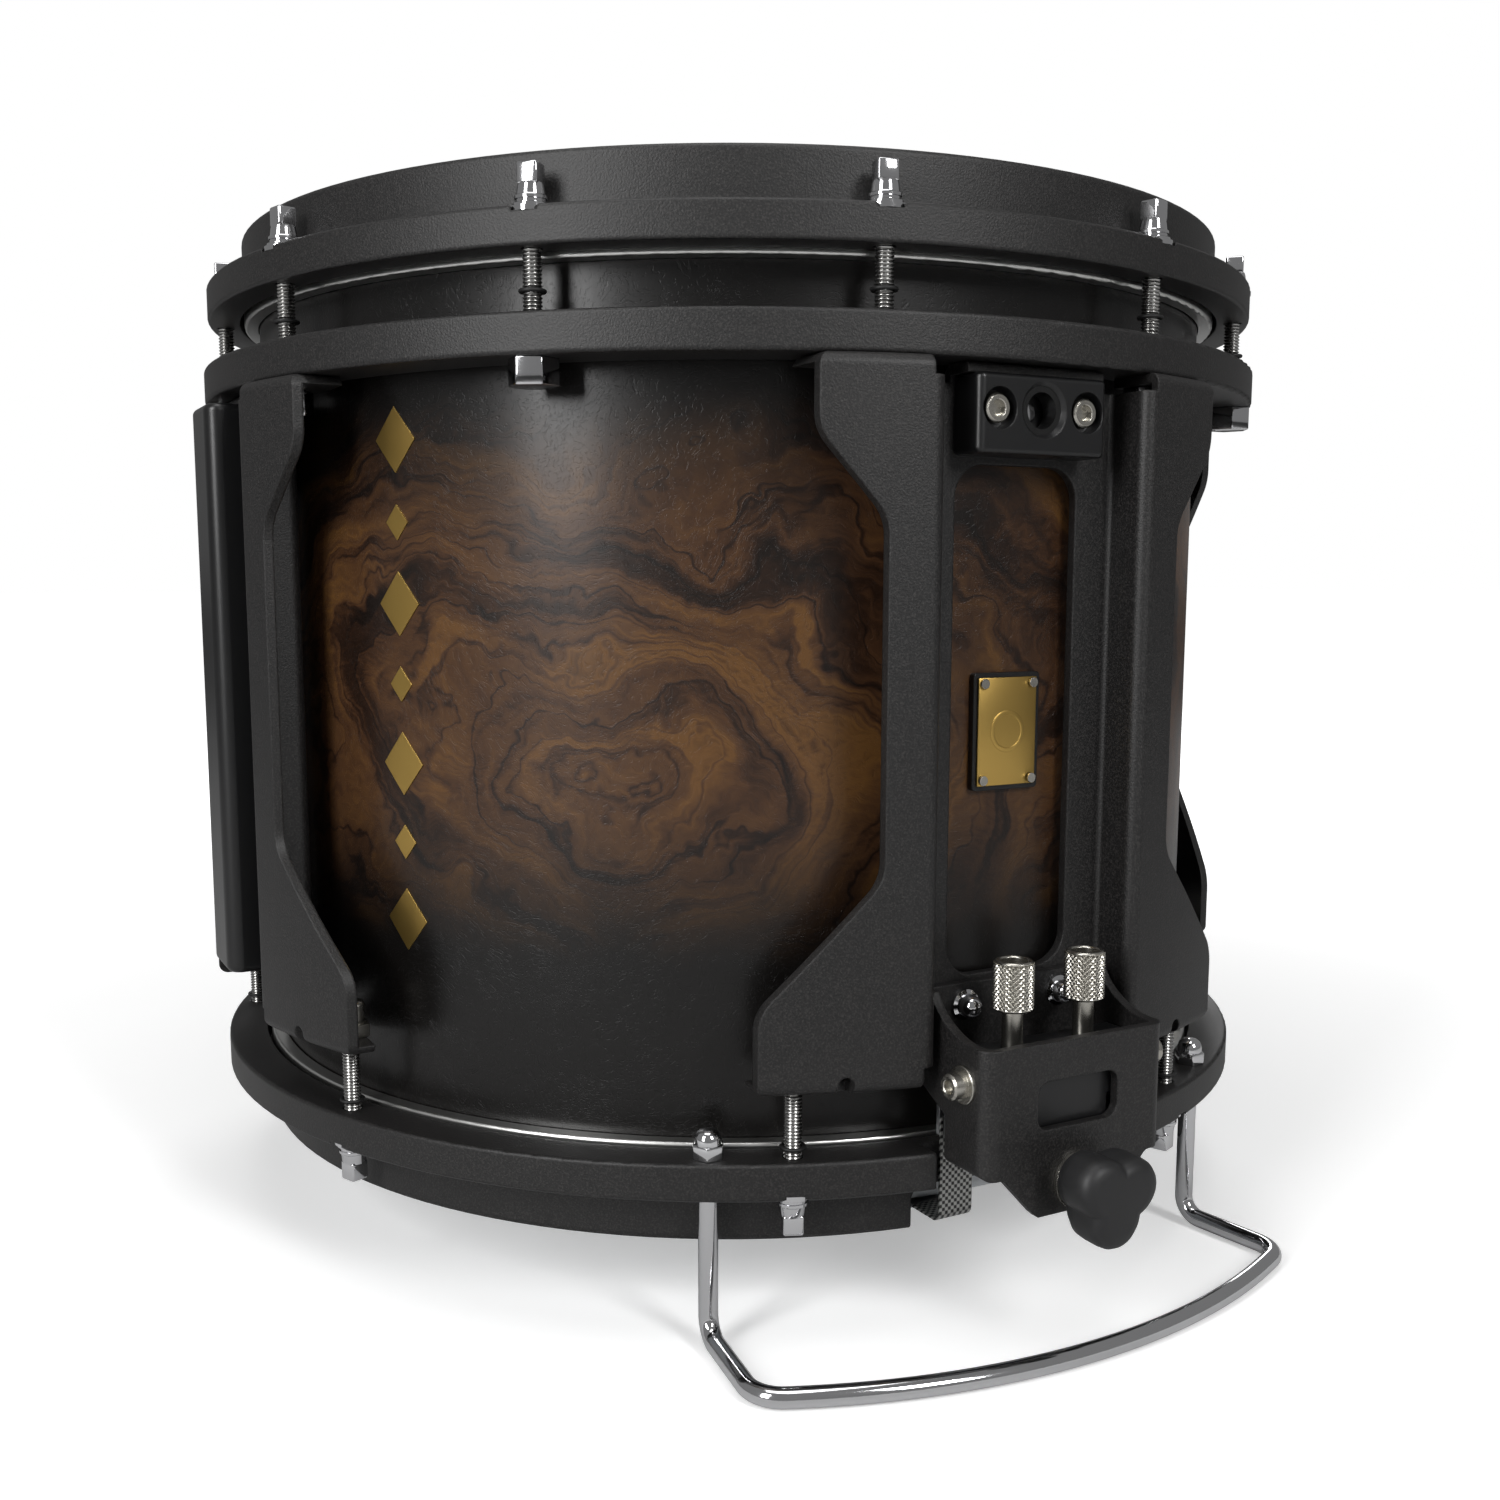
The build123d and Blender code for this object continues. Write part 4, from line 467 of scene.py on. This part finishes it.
def barrel(bm):
    """Tall nut: hexagon foot, plain barrel and chamfered crown."""
    prism(bm, polygon(6, FOOT_NUT_AF), 0, 4.4, bevel=0.5)
    turned(bm, [(0, 0.2), (4.9, 4.2), (4.9, 5.0), (4.4, 5.2), (4.4, 6.0), (4.9, 6.2),
                (4.9, 10.2), (4.2, 11.4), (2.6, 12.0), (0, 12.0)], 32)


shaped("barrel_nuts", repeated(barrel, on_circle(LOW_RODS_R, LOW_ANGLES, FOOT_TOP)), stainless,
       stands_for=("bottom_nuts",))


def acorn(bm):
    """Domed cap nut."""
    prism(bm, polygon(6, ACORN_AF), 0, 4.4, bevel=0.4)
    turned(bm, [(0, 4.0), (4.2, 4.2), (4.15, 6.0), (3.6, 7.6), (2.4, 8.6), (1.0, 8.95),
                (0, 9.0)], 32)


shaped("acorn_nuts", repeated(acorn, on_circle(LOW_RODS_R, LEG_ANGLES, SNARE_TOP)), chrome,
       stands_for=("leg_rest_nuts",))


# ---- adjusters -------------------------------------------------------------------------
def knurled_sleeve(bm):
    """Diamond-knurled sleeve, open at the top."""
    around, rows, cut = 48, 17, 0.6
    top = KNURL_Z + KNURL_H
    low, high = KNURL_Z + 0.8, top - 0.8
    step = (high - low) / (rows - 1)
    turned(bm, [(KNURL_R, low + step * j) for j in range(rows)], around)
    valleys = []
    for v in bm.verts:
        column = round(math.atan2(v.co.y, v.co.x) / (2 * math.pi) * around)
        if (column + round((v.co.z - low) / step)) % 2:
            v.co.x *= 1 - cut / KNURL_R
            v.co.y *= 1 - cut / KNURL_R
            valleys.append(v)
    bmesh.ops.connect_verts(bm, verts=valleys)
    core = KNURL_R - cut
    turned(bm, [(0, KNURL_Z), (core - 0.5, KNURL_Z), (core, KNURL_Z + 0.5),
                (core, low + step)], around)
    turned(bm, [(core, high - step), (core, top - 0.4), (core - 0.4, top), (4.6, top),
                (4.2, top - 0.4), (4.2, top - 11), (0, top - 11)], around)


def adjuster_shaft(bm):
    """Plain shaft and the threaded end that carries the traveller."""
    low = CARRIAGE_Z - CARRIAGE_H
    turned(bm, [(0, ADJ_END)] + thread(ADJ_END, low - 0.2, 2.5, 0.8, 0.35)
           + [(ADJ_SHAFT_R, low), (ADJ_SHAFT_R, KNURL_Z + 0.1), (0, KNURL_Z + 0.1)], 32)


for side, x in (("left", -ADJ_X), ("right", ADJ_X)):
    place, adjuster = [Matrix.Translation((x, -ADJ_Y, 0))], "adjuster_" + side
    shaped("knurled_sleeve_" + side, repeated(knurled_sleeve, place), stainless, adjuster,
           (adjuster,), smooth=12)
    shaped("adjuster_shaft_" + side, repeated(adjuster_shaft, place), stainless, adjuster,
           (adjuster,))


# ---- screws ----------------------------------------------------------------------------
def socket_head(bm, radius, height, key, collar=0.0):
    """Cap screw head with a hexagon socket, standing on zero."""
    inner = key / 2 / math.cos(math.pi / 6)
    turned(bm, [(0, 0), (radius, 0), (radius, height - 0.6), (radius - 0.6, height),
                (inner + 0.25, height), (inner, height - 0.25), (inner, height - 2.2),
                (0, height - 2.2)], 36)
    if collar:
        turned(bm, [(0, -collar), (5.7, -collar), (5.7, -0.2), (5.5, 0), (0, 0)], 36)


screws = repeated(lambda bm: socket_head(bm, 4.3, 5.0, 4.0),
                  [facing(x, -SCREW_SEAT, SCREW_Z) for x in (-SCREW_X, SCREW_X)])
shaped("carrier_screw_heads", screws, stainless, stands_for=("carrier_screws",))
bolts = repeated(lambda bm: socket_head(bm, 3.9, 4.6, 3.6, collar=1.2),
                 [facing(s * BOLT_SEAT, -BOLT_Y, BOLT_Z, (s, 0, 0)) for s in (-1, 1)])
shaped("side_bolt_heads", bolts, stainless, stands_for=("side_bolts",))


def dome_head(bm):
    """Domed nut over the end of a fixing screw."""
    turned(bm, [(0, 0), (4.75, 0), (4.75, 1.2), (3.6, 1.6), (3.6, 3.2), (3.2, 5.2),
                (2.0, 6.6), (0.7, 7.0), (0, 7.0)], 32)


domes = repeated(dome_head, [facing(x, -DOME_Y, DOME_Z) for x in (-DOME_X, DOME_X)])
shaped("bracket_dome_nuts", domes, chrome, stands_for=("strainer_screws",))


# ---- release knob ----------------------------------------------------------------------
def grip(bm):
    """Three-lobed grip on a short neck, with rounded faces."""
    # Each row is a height, the radius in a valley and the radius on a lobe.
    rows = [(0.0, 0.0, 8.0), (0.0, 8.0, 8.0), (1.6, 8.0, 8.2), (3.0, 8.6, 10.2),
            (4.4, 9.4, 13.2), (6.2, 9.9, 14.9), (9.0, 10.0, 15.2), (13.5, 10.0, 15.2),
            (15.8, 9.9, 14.9), (17.4, 9.3, 14.0), (18.5, 8.2, 12.4), (18.95, 6.4, 9.6),
            (19.0, 0.0, 0.0)]
    turned(bm, [(valley, z) for z, valley, _ in rows], 120)
    reach = {round(z, 3): (valley, lobe) for z, valley, lobe in rows if valley}
    for v in bm.verts:
        radius = math.hypot(v.co.x, v.co.y)
        if radius > 0.1:
            valley, lobe = reach[round(v.co.z, 3)]
            angle = math.atan2(v.co.y, v.co.x) - math.radians(KNOB_TURN)
            swell = (0.5 + 0.5 * math.cos(3 * angle)) ** 0.6
            grow = (valley + (lobe - valley) * swell) / radius
            v.co.x *= grow
            v.co.y *= grow


shaped("three_lobed_grip", repeated(grip, [facing(0, -KNOB_BACK, CAM_Z)]), knob_black,
       "release_knob", ("release_knob",), smooth=60)


# ---- badge -----------------------------------------------------------------------------
def badge(bm):
    """Plain plate with a raised ring in the middle."""
    w, h = BADGE_HALF_W, BADGE_HALF_H
    prism(bm, [(-w, -h), (w, -h), (w, h), (-w, h)], 0, 0.75, bevel=0.35)
    turned(bm, [(0, 0.5), (6.4, 0.5), (6.4, 0.9), (6.1, 1.0), (5.2, 1.0), (5.0, 0.8),
                (0, 0.8)], 48)


shaped("badge_face", repeated(badge, [facing(0, -BADGE_Y, BADGE_Z)]), gold,
       stands_for=("badge_plate",))


# ---- stage -----------------------------------------------------------------------------
def pale_floor():
    """Pale matt paper that runs out into the white backdrop."""
    # The camera sees it glow towards white, and the glow fades to about a third close to the
    # drum, a painted shade on the floor round it; other rays see plain grey paper, so that it
    # doesn't light the drum from below.
    mat, tree, surface = material("pale_floor")
    surface.inputs["Base Color"].default_value = srgb("#f2f2f2")
    surface.inputs["Roughness"].default_value = 0.9
    surface.inputs["Specular IOR Level"].default_value = 0.0
    surface.inputs["Emission Color"].default_value = (1, 1, 1, 1)
    far = add(tree, "VectorMath", {0: position(tree)}, operation="LENGTH").outputs["Value"]
    # Weaker glow near the drum: a painted shade on the floor round it.
    glow = add(tree, "MapRange", {
        "Value": far, "From Min": 0.3, "From Max": 1.1, "To Min": 0.35, "To Max": 1.0},
        interpolation_type="SMOOTHSTEP").outputs[0]
    tree.links.new(glow, surface.inputs["Emission Strength"])
    dim = add(tree, "BsdfDiffuse", {"Color": srgb("#c8c8c8")})
    seen = add(tree, "LightPath").outputs["Is Camera Ray"]
    shown = add(tree, "MixShader", {0: seen, 1: dim.outputs[0], 2: surface.outputs[0]})
    tree.links.new(shown.outputs[0], tree.nodes["Material Output"].inputs["Surface"])
    return mat


bm = bmesh.new()
bmesh.ops.create_grid(bm, x_segments=1, y_segments=1, size=30.0)
mesh = bpy.data.meshes.new("floor")
bm.to_mesh(mesh)
bm.free()
floor = bpy.data.objects.new("floor", mesh)
floor.location = (0, 0, cad_box[0].z - 0.5 * MM)
mesh.materials.append(pale_floor())
bpy.context.scene.collection.objects.link(floor)

world = bpy.data.worlds.new("studio")
world.use_nodes = True
sky = world.node_tree
path = add(sky, "LightPath").outputs
# White to the camera, dim in reflections and nearly dark as a light.
unseen = add(sky, "Mix", {"Factor": path["Is Glossy Ray"], 2: 0.05, 3: 0.22}).outputs[0]
strength = add(sky, "Mix", {"Factor": path["Is Camera Ray"], 2: unseen, 3: 1.0}).outputs[0]
backdrop = sky.nodes["Background"]
backdrop.inputs["Color"].default_value = (1, 1, 1, 1)
sky.links.new(strength, backdrop.inputs["Strength"])
bpy.context.scene.world = world


def softbox(name, at, width, height, power, target=(0, 0, -0.15)):
    """Rectangular lamp aimed at the drum."""
    lamp = bpy.data.lights.new(name, "AREA")
    lamp.shape = "RECTANGLE"
    lamp.size, lamp.size_y, lamp.energy = width, height, power
    obj = bpy.data.objects.new(name, lamp)
    obj.location = at
    obj.rotation_mode = "QUATERNION"
    obj.rotation_quaternion = (Vector(target) - Vector(at)).to_track_quat("-Z", "Y")
    bpy.context.scene.collection.objects.link(obj)


softbox("left_softbox", (-1.65, -0.78, 0.6), 0.55, 1.25, 27)
softbox("front_softbox", (0.25, -1.9, 0.95), 0.5, 0.8, 20)
softbox("top_softbox", (-0.2, -0.2, 1.7), 1.2, 1.2, 12)
softbox("rear_softbox", (1.2, 1.5, 0.6), 0.8, 1.0, 14)

# ---- camera ----------------------------------------------------------------------------
lens = bpy.data.cameras.new("camera")
lens.lens, lens.sensor_width = 37.10, 36.0
lens.shift_x, lens.shift_y = 0.0145, 0.0217
camera = bpy.data.objects.new("camera", lens)
camera.location = (-0.2975, -0.5546, (39.15 + MID) * MM)
heading, pitch = math.radians(28.21), math.radians(-7.445)
ahead = Vector((math.sin(heading) * math.cos(pitch), math.cos(heading) * math.cos(pitch),
                math.sin(pitch)))
camera.rotation_mode = "QUATERNION"
camera.rotation_quaternion = ahead.to_track_quat("-Z", "Y")
bpy.context.scene.collection.objects.link(camera)
bpy.context.scene.camera = camera
bpy.context.scene.view_settings.view_transform = "Standard"
